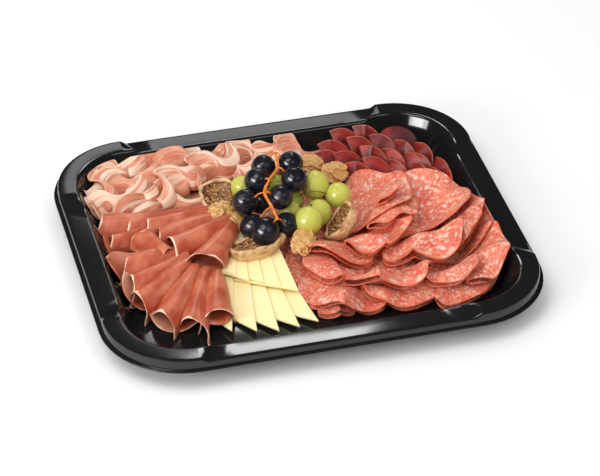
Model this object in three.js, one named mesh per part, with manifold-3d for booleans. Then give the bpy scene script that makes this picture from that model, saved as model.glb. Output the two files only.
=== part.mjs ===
// A charcuterie board: a black moulded tray filled with folded cold meats, two rows of sliced
// cheese, and a small pile of grapes, dried figs and walnuts in the middle.
// Units are millimetres, +Z is up, and the origin is the centre of the tray's underside.
import * as THREE from 'three';
import { mergeVertices } from 'three/addons/utils/BufferGeometryUtils.js';
import Module from 'manifold-3d';

const wasm = await Module();
wasm.setup();

// ---- Driving dimensions ------------------------------------------------------------------

const TRAY = {
  halfLength: 180, // X, to the edge of the outward lip
  halfWidth: 154.5, // Y, to the edge of the outward lip
  cornerRadius: 66.8, // of the lip in plan
  wall: 1.2, // thickness of the moulded shell
  floorTop: 1.3, // height of the food floor
  lipHeight: 17, // underside of the outward lip
  rimHeight: 24, // rim along the four sides
  cornerRise: 3, // how far the corner stretches of the rim stand above the sides
  rimOuter: 4, // inset of the rim's outer edge from the lip
  rimInner: 22.5, // inset of the rim's inner edge
  floorEdge: 38, // inset of the floor's edge
  // Where the ramps up to the raised corners begin and end, at the rim's outer and inner edge.
  endRampFoot: [78.5, 63],
  endRampTop: [86.5, 73],
  sideRampFoot: [107, 97],
  sideRampTop: [112, 102.5],
};
const GAP = 0.3; // clearance between pieces that rest on each other
const FOOD_CEILING = 90; // above every piece of food

const CHEESE = { thickness: 2, shortSide: 48, length: 82, roll: 7.6 };
const SALAMI = { radius: 41, thickness: 1.6 };
const HAM = { thickness: 1.3, tailRadius: 5 };
const COPPA = { height: 27, thickness: 1.4 };
const BRESAOLA = { length: 44, width: 19, rise: 7, thickness: 1.4 };
const STALK = { radius: 1.7, twigRadius: 1.1, sides: 4 };

// ---- Materials ---------------------------------------------------------------------------

function material(color, roughness) {
  return new THREE.MeshStandardMaterial({ color, roughness, metalness: 0 });
}

const FINISH = {
  tray: material('#0c0c0d', 0.12),
  salami: material('#c4554b', 0.45),
  ham: material('#cf7a63', 0.4),
  coppa: material('#dba08c', 0.4),
  bresaola: material('#7c2630', 0.45),
  cheese: material('#f3e3a0', 0.4),
  blackGrape: material('#1c1c2b', 0.3),
  greenGrape: material('#a9b545', 0.25),
  fig: material('#b98f55', 0.7),
  walnut: material('#c08a4a', 0.6),
};

// ---- Solids ------------------------------------------------------------------------------

// A closed geometry as a solid: positions only, merged, without collapsed faces, facing out.
function solidOf(geometry) {
  const bare = geometry.clone();
  bare.deleteAttribute('normal');
  bare.deleteAttribute('uv');
  const merged = mergeVertices(bare, 1e-3);
  const index = merged.index.array;
  const faces = [];
  for (let i = 0; i < index.length; i += 3) {
    const [a, b, c] = index.slice(i, i + 3);
    if (a !== b && b !== c && c !== a) faces.push(a, b, c);
  }
  const mesh = (triangles) => new wasm.Mesh({
    numProp: 3,
    vertProperties: new Float32Array(merged.attributes.position.array),
    triVerts: new Uint32Array(triangles),
  });
  const solid = new wasm.Manifold(mesh(faces));
  if (solid.volume() > 0) return solid;
  return new wasm.Manifold(mesh(faces.reverse()));
}

function geometryOf(solid) {
  const mesh = solid.getMesh();
  const geometry = new THREE.BufferGeometry();
  geometry.setAttribute('position', new THREE.BufferAttribute(mesh.vertProperties, 3));
  geometry.setIndex(new THREE.BufferAttribute(mesh.triVerts, 1));
  geometry.computeVertexNormals();
  return geometry;
}

function largestBody(solid) {
  const bodies = solid.decompose();
  return bodies.reduce((best, body) => (body.volume() > best.volume() ? body : best));
}

function unionOf(solids) {
  return solids.reduce((sum, solid) => sum.add(solid));
}

// Moves every vertex of a geometry through a function of its position.
function reshape(geometry, move) {
  const position = geometry.attributes.position;
  const point = new THREE.Vector3();
  for (let i = 0; i < position.count; i += 1) {
    point.fromBufferAttribute(position, i);
    move(point);
    position.setXYZ(i, point.x, point.y, point.z);
  }
  return geometry;
}

// A pose: heading turns the piece's own +X in plan, pitch lifts that end, roll turns it on
// that axis, and at places its origin.
function pose({ at, heading = 0, pitch = 0, roll = 0 }) {
  const turn = new THREE.Matrix4().makeRotationZ(THREE.MathUtils.degToRad(heading));
  turn.multiply(new THREE.Matrix4().makeRotationY(THREE.MathUtils.degToRad(-pitch)));
  turn.multiply(new THREE.Matrix4().makeRotationX(THREE.MathUtils.degToRad(roll)));
  return turn.premultiply(new THREE.Matrix4().makeTranslation(...at));
}

// ---- Tray --------------------------------------------------------------------------------

// Stations round one quarter of the tray, from the middle of a long end to the middle of a
// side. Each says where it lies at an inset from the lip and how far it is raised. The ramps
// between side and corner stretches of the rim run slantwise, so they shift with the inset.
const CORNER_STEPS = 6;
const STATIONS = 4 * (CORNER_STEPS + 5);

function slant([atOuter, atInner], inset) {
  const share = (inset - TRAY.rimOuter) / (TRAY.rimInner - TRAY.rimOuter);
  return atOuter + (atInner - atOuter) * THREE.MathUtils.clamp(share, 0, 1);
}

function quarterStation(step, inset) {
  const x = TRAY.halfLength - inset;
  const y = TRAY.halfWidth - inset;
  const centreX = TRAY.halfLength - TRAY.cornerRadius;
  const centreY = TRAY.halfWidth - TRAY.cornerRadius;
  if (step === 0) return { x, y: 0, raised: 0 };
  if (step === 1) return { x, y: slant(TRAY.endRampFoot, inset), raised: 0 };
  if (step === 2) return { x, y: slant(TRAY.endRampTop, inset), raised: 1 };
  const arc = step - 3;
  if (arc <= CORNER_STEPS - 1) {
    const angle = (arc / (CORNER_STEPS - 1)) * (Math.PI / 2);
    const radius = TRAY.cornerRadius - inset;
    return {
      x: centreX + radius * Math.cos(angle),
      y: centreY + radius * Math.sin(angle),
      raised: 1,
    };
  }
  if (arc === CORNER_STEPS) return { x: slant(TRAY.sideRampTop, inset), y, raised: 1 };
  return { x: slant(TRAY.sideRampFoot, inset), y, raised: 0 };
}

function station(index, inset) {
  const perQuarter = STATIONS / 4;
  const quarter = Math.floor(index / perQuarter) % 4;
  const step = index % perQuarter;
  if (quarter % 2 === 0) {
    const sign = quarter === 0 ? 1 : -1;
    const place = quarterStation(step, inset);
    return { ...place, x: sign * place.x, y: sign * place.y };
  }
  const sign = quarter === 1 ? -1 : 1;
  if (step === 0) return { x: 0, y: -sign * (TRAY.halfWidth - inset), raised: 0 };
  const place = quarterStation(perQuarter - step, inset);
  return { ...place, x: sign * place.x, y: -sign * place.y };
}

// Turns a profile of [inset, height, rise, setBack] points, closed by the axis, into a solid
// that follows the tray's rounded outline. Rise and setBack act on the raised stretches.
function followOutline(profile) {
  const reach = TRAY.halfLength;
  const floor = [new THREE.Vector2(0, profile[0][1])];
  const rings = profile.map(([inset, height]) => new THREE.Vector2(reach - inset, height));
  const ceiling = [new THREE.Vector2(0, profile[profile.length - 1][1])];
  const lathe = new THREE.LatheGeometry([...floor, ...rings, ...ceiling], STATIONS);
  const position = lathe.attributes.position;
  const perStation = profile.length + 2;
  for (let i = 0; i < position.count; i += 1) {
    const ring = (i % perStation) - 1;
    const around = Math.floor(i / perStation) % STATIONS;
    const height = position.getY(i);
    if (ring < 0 || ring >= profile.length) {
      position.setXYZ(i, 0, 0, height);
      continue;
    }
    const [inset, , rise = 0, setBack = 0] = profile[ring];
    const raised = station(around, inset).raised;
    const place = station(around, inset - setBack * raised);
    position.setXYZ(i, place.x, place.y, height + rise * raised);
  }
  return solidOf(lathe);
}

function traySolid() {
  const { wall, floorTop, lipHeight, rimHeight, cornerRise, rimOuter, rimInner, floorEdge } = TRAY;
  const under = rimHeight - wall;
  return followOutline([
    [floorEdge, 0],
    [floorEdge - 4, 0.9],
    [floorEdge - 7, 4.3],
    [rimInner - 1, under, cornerRise, 2.5],
    [rimOuter + 1, under, cornerRise],
    [rimOuter + 0.2, lipHeight],
    [0, lipHeight],
    [0, lipHeight + wall],
    [rimOuter - 1.1, lipHeight + wall],
    [rimOuter - 0.8, rimHeight - 0.9, cornerRise],
    [rimOuter, rimHeight, cornerRise],
    [rimInner - 1.1, rimHeight, cornerRise, 2.5],
    [rimInner, rimHeight - 0.8, cornerRise, 2.5],
    [floorEdge - 6, floorTop + 4],
    [floorEdge - 3.2, floorTop + 1],
    [floorEdge, floorTop],
  ]);
}

// The space inside the tray, a gap clear of its floor and walls, that every food keeps to.
function cavitySolid() {
  const { floorTop, rimHeight, rimInner, floorEdge } = TRAY;
  const inner = rimInner + 2 * GAP;
  return followOutline([
    [floorEdge + 1, floorTop + GAP],
    [floorEdge - 2, floorTop + 1 + 2 * GAP],
    [floorEdge - 5, floorTop + 4.4],
    [inner, rimHeight],
    [inner, FOOD_CEILING],
  ]);
}

// ---- Sheets of meat ----------------------------------------------------------------------

const FULL_TURN = 2 * Math.PI;
const RIGHT_ANGLE = Math.PI / 2;

// Squares become slices a little squarer than a circle.
const ROUNDING = 0.4;

function roundOutline(u, v) {
  return [u * Math.sqrt(1 - ROUNDING * v * v), v * Math.sqrt(1 - ROUNDING * u * u)];
}

function squareOutline(u, v) {
  return [u, v];
}

// A slice: a thin box whose middle layer is laid on the surface that middle(p, q) gives, with
// its thickness along the surface's normal. grow swells it all round, for its clearance.
function sliceSolid({ middle, outline, steps, size, thickness }, grow) {
  const reach = 1 + grow / size;
  const box = new THREE.BoxGeometry(2, 2, 1, steps[0], steps[1], 1);
  const nudge = 1e-3;
  reshape(box, (point) => {
    const [p, q] = outline(point.x, point.y).map((share) => share * reach);
    const along = middle(p + nudge, q).sub(middle(p - nudge, q));
    const across = middle(p, q + nudge).sub(middle(p, q - nudge));
    const normal = along.cross(across).normalize();
    const lift = point.z * (thickness + 2 * grow);
    point.copy(middle(p, q)).addScaledVector(normal, lift);
  });
  return solidOf(box);
}

// A round slice folded in half over a soft bend, its open edge towards +X. The upper leaf
// opens by a few degrees and both leaves ripple more towards the open edge.
function halfMoon({ radius = SALAMI.radius, bend = 3, open = 5, ripple = 4, waves = 1.5, phase = 0 }) {
  const leaf = Math.tan(THREE.MathUtils.degToRad(open));
  return {
    outline: roundOutline,
    steps: [4, 4],
    size: radius,
    thickness: SALAMI.thickness,
    middle: (p, q) => {
      const along = radius * p;
      const turn = THREE.MathUtils.clamp(along / bend, -RIGHT_ANGLE, RIGHT_ANGLE);
      const past = Math.max(Math.abs(along) - RIGHT_ANGLE * bend, 0);
      const upper = p > 0 ? 1 : 0;
      const wave = ripple * (past / radius) ** 2 * Math.sin(waves * q * Math.PI + phase);
      return new THREE.Vector3(
        bend * (1 - Math.cos(turn)) + past,
        radius * q,
        bend * (1 + Math.sin(turn)) + past * leaf * upper + wave,
      );
    },
  };
}

// A round slice laid nearly flat, its rim rising and falling.
function wavyDisc({ radius = SALAMI.radius, ripple = 3, waves = 3, phase = 0 }) {
  return {
    outline: roundOutline,
    steps: [4, 4],
    size: radius,
    thickness: SALAMI.thickness,
    middle: (p, q) => new THREE.Vector3(
      radius * p,
      radius * q,
      ripple * (p * p + q * q) * Math.sin(waves * Math.atan2(q, p) + phase),
    ),
  };
}

// A ham slice folded to an arch that widens from its tail at the origin to an open mouth
// along +X. One leg reaches further forward, so the mouth is cut slantwise.
function arch({ length, mouth, lead }) {
  const leg = 0.75; // radians each leg runs on past the half circle
  return {
    outline: squareOutline,
    steps: [4, 2],
    size: length / 2,
    thickness: HAM.thickness,
    middle: (p, q) => {
      const share = (q + 1) / 2;
      const radius = HAM.tailRadius + (mouth - HAM.tailRadius) * share;
      const angle = p * (RIGHT_ANGLE + leg);
      const turn = THREE.MathUtils.clamp(angle, -RIGHT_ANGLE, RIGHT_ANGLE);
      const past = Math.abs(angle) - Math.abs(turn);
      return new THREE.Vector3(
        length * share + lead * p * share,
        radius * (Math.sin(turn) + 0.25 * Math.sign(p) * past),
        radius * (Math.cos(turn) - past),
      );
    },
  };
}

// A small slice folded twice into a flattened cone: its point at the origin and its round
// edge along +X.
function petal() {
  const { length, width, rise } = BRESAOLA;
  return {
    outline: squareOutline,
    steps: [4, 2],
    size: length / 2,
    thickness: BRESAOLA.thickness,
    middle: (p, q) => {
      const share = 0.36 + 0.32 * (q + 1);
      const angle = p * 2.2; // the sheet wraps round past both sides
      const reach = length * (1 - 0.16 * Math.sin(angle) ** 2);
      return new THREE.Vector3(
        reach * share,
        width * share * Math.sin(angle),
        share * rise * Math.cos(angle),
      );
    },
  };
}

// A marbled slice standing as a leaning, winding ribbon that runs along X.
function ribbon({ length = 60, height = COPPA.height, lean = 0.9, sway = 7, waves = 1.5, phase = 0 }) {
  return {
    outline: squareOutline,
    steps: [6, 1],
    size: length / 2,
    thickness: COPPA.thickness,
    middle: (p, q) => new THREE.Vector3(
      (length / 2) * p,
      sway * Math.sin(waves * p * Math.PI + phase) + lean * (height / 2) * q,
      (height / 2) * (1 + q) * Math.cos(lean * 0.8) + 2 * Math.sin(FULL_TURN * p + phase),
    ),
  };
}

// ---- Other foods -------------------------------------------------------------------------

// A slice of cheese: a long triangle whose sharp front corner is at the origin. Its right side
// runs back along -X, and its short front side runs off to the left.
function cheeseSolid(corner, grow) {
  const { shortSide, length, thickness } = CHEESE;
  const angle = THREE.MathUtils.degToRad(corner);
  const corners = [
    new THREE.Vector2(0, 0),
    new THREE.Vector2(-length, 0),
    new THREE.Vector2(-shortSide * Math.cos(angle), -shortSide * Math.sin(angle)),
  ];
  const sides = [
    corners[1].distanceTo(corners[2]),
    corners[2].distanceTo(corners[0]),
    corners[0].distanceTo(corners[1]),
  ];
  const round = sides[0] + sides[1] + sides[2];
  const centre = new THREE.Vector2();
  corners.forEach((point, i) => centre.addScaledVector(point, sides[i] / round));
  const area = Math.abs(corners[1].x * corners[2].y) / 2;
  const scale = 1 + (grow * round) / (2 * area);
  const grown = corners.map((point) => point.clone().sub(centre).multiplyScalar(scale).add(centre));
  const depth = thickness + 2 * grow;
  const slab = new THREE.ExtrudeGeometry(new THREE.Shape(grown), { depth, bevelEnabled: false });
  return solidOf(slab.translate(0, 0, -grow));
}

function ellipsoid(radii, grow, across, down) {
  const sphere = new THREE.SphereGeometry(1, across, down);
  sphere.scale(radii[0] + grow, radii[1] + grow, radii[2] + grow);
  return sphere;
}

// A halved dried fig: a wrinkled boat below, and a nearly flat cut face on top.
function figSolid({ long = 22, wide = 15, deep = 13 }, grow) {
  const fig = reshape(new THREE.SphereGeometry(1, 11, 7), (point) => {
    const wrinkle = 1 + 0.05 * Math.sin(5 * Math.atan2(point.y, point.x));
    const lower = point.z < 0;
    point.x *= (long + grow) * wrinkle * (1 + 0.12 * point.x);
    point.y *= (wide + grow) * wrinkle;
    point.z *= lower ? deep + grow : 2 + grow;
  });
  return solidOf(fig);
}

// A piece of walnut kernel: a lumpy half with deep furrows.
function walnutSolid({ long = 12, wide = 9, deep = 7, seed = 0 }, grow) {
  const kernel = reshape(new THREE.SphereGeometry(1, 9, 6), (point) => {
    const lump = 0.16 * Math.sin(5 * point.x + seed) * Math.cos(4 * point.y + seed);
    const furrow = 0.12 * Math.cos(7 * point.z + 3 * point.x + seed);
    const swell = 1 + lump + furrow;
    point.x *= long * swell + grow;
    point.y *= wide * swell + grow;
    point.z *= deep * swell + grow;
  });
  return solidOf(kernel);
}

function berrySolid([x, y, z, radius], grow) {
  return solidOf(ellipsoid([radius, radius, radius * 1.04], grow, 8, 5).translate(x, y, z));
}

function twigSolid(points, radius, grow) {
  const route = new THREE.CatmullRomCurve3(points.map((point) => new THREE.Vector3(...point)));
  const section = new THREE.Shape();
  section.absarc(0, 0, radius + grow, 0, FULL_TURN, false);
  const steps = points.length > 2 ? 2 * points.length : 1;
  const options = { extrudePath: route, steps, curveSegments: STALK.sides / 2, bevelEnabled: false };
  return solidOf(new THREE.ExtrudeGeometry(section, options));
}

// A bunch: berries round a stalk, each joined to it by its own short twig.
function bunchSolid({ berries, stalk }, grow) {
  const route = new THREE.CatmullRomCurve3(stalk.map((point) => new THREE.Vector3(...point)));
  const joints = route.getPoints(12);
  const parts = [twigSolid(stalk, STALK.radius, grow)];
  for (const berry of berries) {
    const centre = new THREE.Vector3(...berry.slice(0, 3));
    const joint = joints.reduce((a, b) => (a.distanceTo(centre) < b.distanceTo(centre) ? a : b));
    const inside = centre.clone().lerp(joint, (0.7 * berry[3]) / centre.distanceTo(joint));
    parts.push(berrySolid(berry, grow));
    parts.push(twigSolid([joint.toArray(), inside.toArray()], STALK.twigRadius, grow));
  }
  return unionOf(parts);
}

// ---- Layout: each list runs from the piece on top to the one underneath ------------------

const BLACK_GRAPES = {
  stalk: [[1, 66, 53], [-2, 46, 52], [-13, 30, 52], [-20, 18, 49], [-18, 4, 45], [-16, -8, 40]],
  berries: [
    [-9.6, 62.8, 42, 10.2], [-19.6, 42.7, 44, 10.8], [11.9, 57, 45, 10.6], [9.4, 34.9, 45, 10.8],
    [-6.3, 19.3, 41, 10], [-34.2, 26.8, 36, 10.6], [-32, 11, 22, 10.4], [-25.1, -5.2, 27, 12],
    [-5, 5, 23, 10.4], [-18.9, 36, 26, 9],
  ],
};
const GREEN_GRAPES = {
  stalk: [[27, 47, 44], [21, 38, 41], [19, 28, 36], [15, 16, 34]],
  berries: [
    [-28.8, 58.2, 28, 9.5], [-0.3, 56, 25, 10], [28.2, 41.1, 32, 11.8], [45.8, 31.4, 25, 10.8],
    [12.5, 2.1, 26, 11.6], [25.5, 19, 20, 11], [10, 40, 20, 9], [3, 22, 23, 9],
  ],
};
const FIGS = [
  { at: [-46.5, 58, 23], heading: -14, pitch: -8, roll: 26, long: 21 },
  { at: [-37, -10, 20], heading: 6, pitch: 4, roll: -16, long: 24 },
  { at: [41, 2.5, 19], heading: 62, pitch: 8, roll: -42, long: 21 },
];
const WALNUTS = [
  { at: [-51.7, 38.8, 20], heading: 25, seed: 1 },
  { at: [-43.7, 25.5, 17], heading: -40, seed: 4 },
  { at: [4, -14, 18], heading: 65, seed: 2, long: 15 },
  { at: [51.8, 66.9, 22], heading: 10, seed: 6 },
  { at: [36.7, 82, 22], heading: -30, seed: 8, long: 11 },
];

// Ham: tail and mouth of each arch, as [x, y, z of the arch's middle line], hub side first.
const HAM_ARCHES = [
  { tail: [-52, 14, 17], mouth: [-82, -24, 9], wide: 14, lead: -9 },
  { tail: [-50, 24, 17], mouth: [-100, -2, 11], wide: 12, lead: 9 },
  { tail: [-52, 34, 15], mouth: [-108, 20, 10], wide: 12, lead: 9 },
  { tail: [-54, 44, 13], mouth: [-116, 36, 8], wide: 12, lead: 9 },
  { tail: [-94, 46, 10], mouth: [-144, 52, 7], wide: 11, lead: 8 },
  { tail: [-104, -6, 16], mouth: [-134, 20, 9], wide: 9, lead: 6 },
  { tail: [-96, -10, 13], mouth: [-141, -14, 8], wide: 14, lead: 10 },
  { tail: [-96, -20, 13], mouth: [-138, -50, 5], wide: 12, lead: 9 },
  { tail: [-90, -26, 12], mouth: [-125, -75, 5], wide: 12, lead: 9 },
  { tail: [-84, -30, 11], mouth: [-110, -90, 5], wide: 12, lead: 9 },
  { tail: [-76, -34, 10], mouth: [-90, -88, 6], wide: 13, lead: 8 },
];

const COPPA_RIBBONS = [
  { at: [-82, 82, 5], heading: -58, length: 50, sway: 6 },
  { at: [-112, 80, 4], heading: 8, length: 58, sway: 4, phase: 1 },
  { at: [-84, 106, 7], heading: 14, length: 78, sway: 7, phase: 2 },
  { at: [-126, 98, 4], heading: 60, length: 44, sway: 8, phase: 3 },
  { at: [-42, 100, 1.6], heading: 40, length: 50, sway: 7, phase: 1 },
  { at: [-12, 96, 1.8], heading: 12, length: 44, sway: 6, phase: 4 },
  { at: [28, 104, 1.6], heading: -14, length: 46, sway: 5, phase: 2 },
];

// Bresaola stands in two rows of leaning petals that follow the bend of the back corner.
const BRESAOLA_HUB = new THREE.Vector2(70, 20);
const BRESAOLA_FRONT = [[68, 78], [92, 70], [112, 58]];
const BRESAOLA_BACK = [[64, 98], [86, 94], [106, 84], [120, 68], [131, 50], [136, 34]];

const SALAMI_SLICES = [
  { kind: wavyDisc, at: [72, 48, 18], heading: 20, pitch: 3, roll: 3, ripple: 3, phase: 1 },
  { kind: halfMoon, at: [66, 14, 12], heading: -40, pitch: 7, roll: 5, ripple: 4 },
  { kind: halfMoon, at: [38, -2, 12], heading: -66, pitch: 7, roll: 5, ripple: 3, phase: 1 },
  { kind: halfMoon, at: [92, 26, 9], heading: -14, pitch: 7, roll: 5, ripple: 4 },
  { kind: halfMoon, at: [94, -14, 7.5], heading: -42, pitch: 7, roll: 5, ripple: 3, phase: 4 },
  { kind: halfMoon, at: [66, -30, 7], heading: -74, pitch: 7, roll: 5, ripple: 4 },
  { kind: halfMoon, at: [20, -22, 8], heading: -84, pitch: 7, roll: 5, ripple: 3, radius: 34 },
  { kind: wavyDisc, at: [108, 44, 5.5], heading: 40, pitch: 2, ripple: 2, phase: 2 },
  { kind: halfMoon, at: [108, 6, 2.5], heading: -16, pitch: 6, roll: 4, ripple: 3 },
  { kind: halfMoon, at: [106, -50, 2.5], heading: -50, pitch: 6, roll: 4, ripple: 4, phase: 3 },
  { kind: halfMoon, at: [66, -62, 2.5], heading: -80, pitch: 6, roll: 4, ripple: 4 },
  { kind: halfMoon, at: [26, -58, 2.5], heading: -76, pitch: 6, roll: 4, ripple: 4 },
];

// Cheese: the sharp front corner of each slice, left to right, and the way its right side
// runs. Every slice lies on the right-hand one beside it.
const CHEESE_ROWS = [
  {
    name: 'back', tips: [[-57, -37], [-49, -46], [-38, -51], [-26, -59], [-14, -68]],
    heading: -103, turn: 3.6, corner: 53, lift: 9.3, pitch: -2,
  },
  {
    name: 'front', tips: [[-76, -98], [-57, -103], [-40, -107], [-23, -106], [-7, -103]],
    heading: -105, turn: 5.6, corner: 42, lift: 3.7, pitch: 0,
  },
];

// ---- Assembly ----------------------------------------------------------------------------

const cavity = cavitySolid();
const board = new THREE.Group();
const clearances = [];

function addMesh(name, solid, finish) {
  const mesh = new THREE.Mesh(geometryOf(solid), finish);
  mesh.name = name;
  board.add(mesh);
}

function boxesMeet(a, b) {
  return [0, 1, 2].every((axis) => a.min[axis] < b.max[axis] && b.min[axis] < a.max[axis]);
}

// Adds a food. make(grow) gives its solid, swollen all round by grow. It is trimmed to the
// tray and to the pieces that already lie on it, and then clears the pieces that follow. A
// trimmed piece is rebuilt from its own mesh, so that slivers cut loose from it are dropped.
function addFood(name, finish, make) {
  let solid = make(0).intersect(cavity);
  for (const clearance of clearances) {
    if (boxesMeet(solid.boundingBox(), clearance.boundingBox())) solid = solid.subtract(clearance);
  }
  const trimmed = largestBody(solidOf(geometryOf(largestBody(solid))));
  addMesh(name, trimmed, finish);
  clearances.push(make(GAP), trimmed);
}

function addPosed(name, finish, place, make) {
  const matrix = pose(place).elements;
  addFood(name, finish, (grow) => make(grow).transform(Array.from(matrix)));
}

function addCentrepiece() {
  addFood('black_grape_bunch', FINISH.blackGrape, (grow) => bunchSolid(BLACK_GRAPES, grow));
  addFood('green_grape_bunch', FINISH.greenGrape, (grow) => bunchSolid(GREEN_GRAPES, grow));
  FIGS.forEach((fig, i) => {
    addPosed(`fig_half_${i + 1}`, FINISH.fig, fig, (grow) => figSolid(fig, grow));
  });
  WALNUTS.forEach((nut, i) => {
    addPosed(`walnut_${i + 1}`, FINISH.walnut, nut, (grow) => walnutSolid(nut, grow));
  });
}

function addHam() {
  HAM_ARCHES.forEach(({ tail, mouth, wide, lead }, i) => {
    const run = new THREE.Vector3(...mouth).sub(new THREE.Vector3(...tail));
    const heading = THREE.MathUtils.radToDeg(Math.atan2(run.y, run.x));
    const pitch = THREE.MathUtils.radToDeg(Math.asin(run.z / run.length()));
    const slice = arch({ length: run.length(), mouth: wide, lead });
    const place = { at: tail, heading, pitch };
    addPosed(`ham_slice_${i + 1}`, FINISH.ham, place, (grow) => sliceSolid(slice, grow));
  });
}

function addCheese() {
  for (const { name, tips, heading, turn, corner, lift, pitch } of CHEESE_ROWS) {
    tips.forEach(([x, y], i) => {
      const at = [x, y, TRAY.floorTop + lift];
      const place = { at, heading: heading + turn * i, pitch, roll: CHEESE.roll };
      const make = (grow) => cheeseSolid(corner, grow);
      addPosed(`cheese_${name}_${i + 1}`, FINISH.cheese, place, make);
    });
  }
}

function addSlices(prefix, finish, layout, shapeOf) {
  layout.forEach((place, i) => {
    const slice = shapeOf(place);
    addPosed(`${prefix}_${i + 1}`, finish, place, (grow) => sliceSolid(slice, grow));
  });
}

function bresaolaPlaces(points, z) {
  const pitch = 24;
  return points.map(([x, y], i) => {
    const out = new THREE.Vector2(x, y).sub(BRESAOLA_HUB);
    const heading = THREE.MathUtils.radToDeg(Math.atan2(out.y, out.x));
    return { at: [x, y, z], heading: 0.6 * heading + 30, pitch, roll: i % 2 ? 10 : -6 };
  });
}

addMesh('tray', traySolid(), FINISH.tray);
addCentrepiece();
addHam();
addSlices('coppa', FINISH.coppa, COPPA_RIBBONS, ribbon);
addSlices('bresaola_front', FINISH.bresaola, bresaolaPlaces(BRESAOLA_FRONT, 6), petal);
addSlices('bresaola_back', FINISH.bresaola, bresaolaPlaces(BRESAOLA_BACK, 5), petal);
addCheese();
addSlices('salami', FINISH.salami, SALAMI_SLICES, (place) => place.kind(place));

export default board;
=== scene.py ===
"""The finished look of a charcuterie platter: a black tray of cold meats, cheese, fruit and nuts.

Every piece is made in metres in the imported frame, with its place in its own mesh.
"""

import math

import bpy
import numpy as np
from bpy.props import FloatProperty, FloatVectorProperty, IntProperty, PointerProperty
from bpy.types import Operator, Panel, PropertyGroup
from mathutils import Matrix, Vector, noise


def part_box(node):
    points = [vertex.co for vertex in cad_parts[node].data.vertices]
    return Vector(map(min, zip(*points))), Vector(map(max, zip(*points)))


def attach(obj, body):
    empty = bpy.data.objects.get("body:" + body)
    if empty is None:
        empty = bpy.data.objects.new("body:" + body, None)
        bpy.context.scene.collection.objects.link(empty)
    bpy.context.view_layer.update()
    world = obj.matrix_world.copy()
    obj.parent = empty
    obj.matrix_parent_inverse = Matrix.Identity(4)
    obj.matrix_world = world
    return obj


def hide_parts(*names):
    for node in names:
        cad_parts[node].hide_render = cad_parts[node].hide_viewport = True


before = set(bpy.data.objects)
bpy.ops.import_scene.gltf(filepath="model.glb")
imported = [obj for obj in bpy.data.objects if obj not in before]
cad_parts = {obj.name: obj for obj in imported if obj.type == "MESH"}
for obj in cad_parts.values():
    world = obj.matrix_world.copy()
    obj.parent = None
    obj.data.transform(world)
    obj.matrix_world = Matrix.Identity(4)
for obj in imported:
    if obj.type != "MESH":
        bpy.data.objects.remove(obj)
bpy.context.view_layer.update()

bl_info = {
    "name": "Charcuterie Platter",
    "version": (1, 0, 0),
    "blender": (4, 5, 0),
    "location": "3D View > Sidebar > Platter",
    "description": "Lays out a black tray of cold meats, sliced cheese, grapes, dried figs and walnuts",
    "category": "Add Mesh",
}

MM = 0.001
TURN = 2 * math.pi
RIGHT = math.pi / 2
TRAY_LOW, TRAY_HIGH = (np.array(corner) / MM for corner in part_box("tray"))

# The tray's section in millimetres, insets from the lip and heights above the table.
CORNER, RIM_OUTER, RIM_INNER, FLOOR_EDGE = 66.8, 4, 22.5, 38
RIM_HEIGHT = 24.0


# ---- Settings ----------------------------------------------------------------------------


def size(name, default, description):
    """A length setting, shown in millimetres."""
    return FloatProperty(name=name, default=default, description=description, min=0, subtype="DISTANCE")


def tint(name, default, description):
    """A colour setting."""
    return FloatVectorProperty(
        name=name, default=default, description=description, subtype="COLOR", size=3, min=0, max=1
    )


class PLATTER_PG_tray(PropertyGroup):
    """Sizes and colour of the tray."""

    corner: size("Corner Radius", CORNER * MM, "Radius of the lip's corners in plan")
    rim_inset: size("Rim Inset", RIM_INNER * MM, "How far the rim's inner edge lies inside the lip")
    floor_inset: size("Floor Inset", FLOOR_EDGE * MM, "How far the floor's edge lies inside the lip")
    lip_height: size("Lip Height", 17 * MM, "Height of the lip's underside")
    corner_rise: size("Corner Rise", 3 * MM, "How far the corners of the rim stand above its sides")
    wall: size("Wall", 1.2 * MM, "Thickness of the moulded shell")
    plastic: tint("Plastic", (0.011, 0.011, 0.0115), "Colour of the gloss plastic")


class PLATTER_PG_meats(PropertyGroup):
    """Sizes and colours of the sliced meats."""

    salami_radius: size("Salami Radius", 41 * MM, "Radius of a salami slice")
    salami_thickness: size("Salami Thickness", 1.2 * MM, "Thickness of a salami slice")
    ham_thickness: size("Ham Thickness", 1.0 * MM, "Thickness of a ham slice")
    coppa_thickness: size("Coppa Thickness", 0.8 * MM, "Thickness of a coppa slice")
    beef_radius: size("Beef Radius", 32 * MM, "Radius of an air-dried beef slice")
    beef_thickness: size("Beef Thickness", 0.9 * MM, "Thickness of an air-dried beef slice")
    salami_lean: tint("Salami Lean", (0.66, 0.078, 0.036), "Lean meat of the salami")
    salami_fat: tint("Salami Fat", (0.88, 0.60, 0.46), "Fat specks of the salami")
    ham_lean: tint("Ham Lean", (0.43, 0.066, 0.026), "Lean meat of the ham")
    ham_fat: tint("Ham Fat", (0.88, 0.66, 0.46), "Fat edge of the ham")
    coppa_lean: tint("Coppa Lean", (0.58, 0.17, 0.085), "Lean meat of the coppa")
    coppa_fat: tint("Coppa Fat", (0.88, 0.62, 0.46), "Fat streaks of the coppa")
    beef_lean: tint("Beef Lean", (0.140, 0.010, 0.010), "Lean meat of the beef")
    beef_rim: tint("Beef Rim", (0.50, 0.15, 0.07), "Rim of the beef slices")


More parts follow.
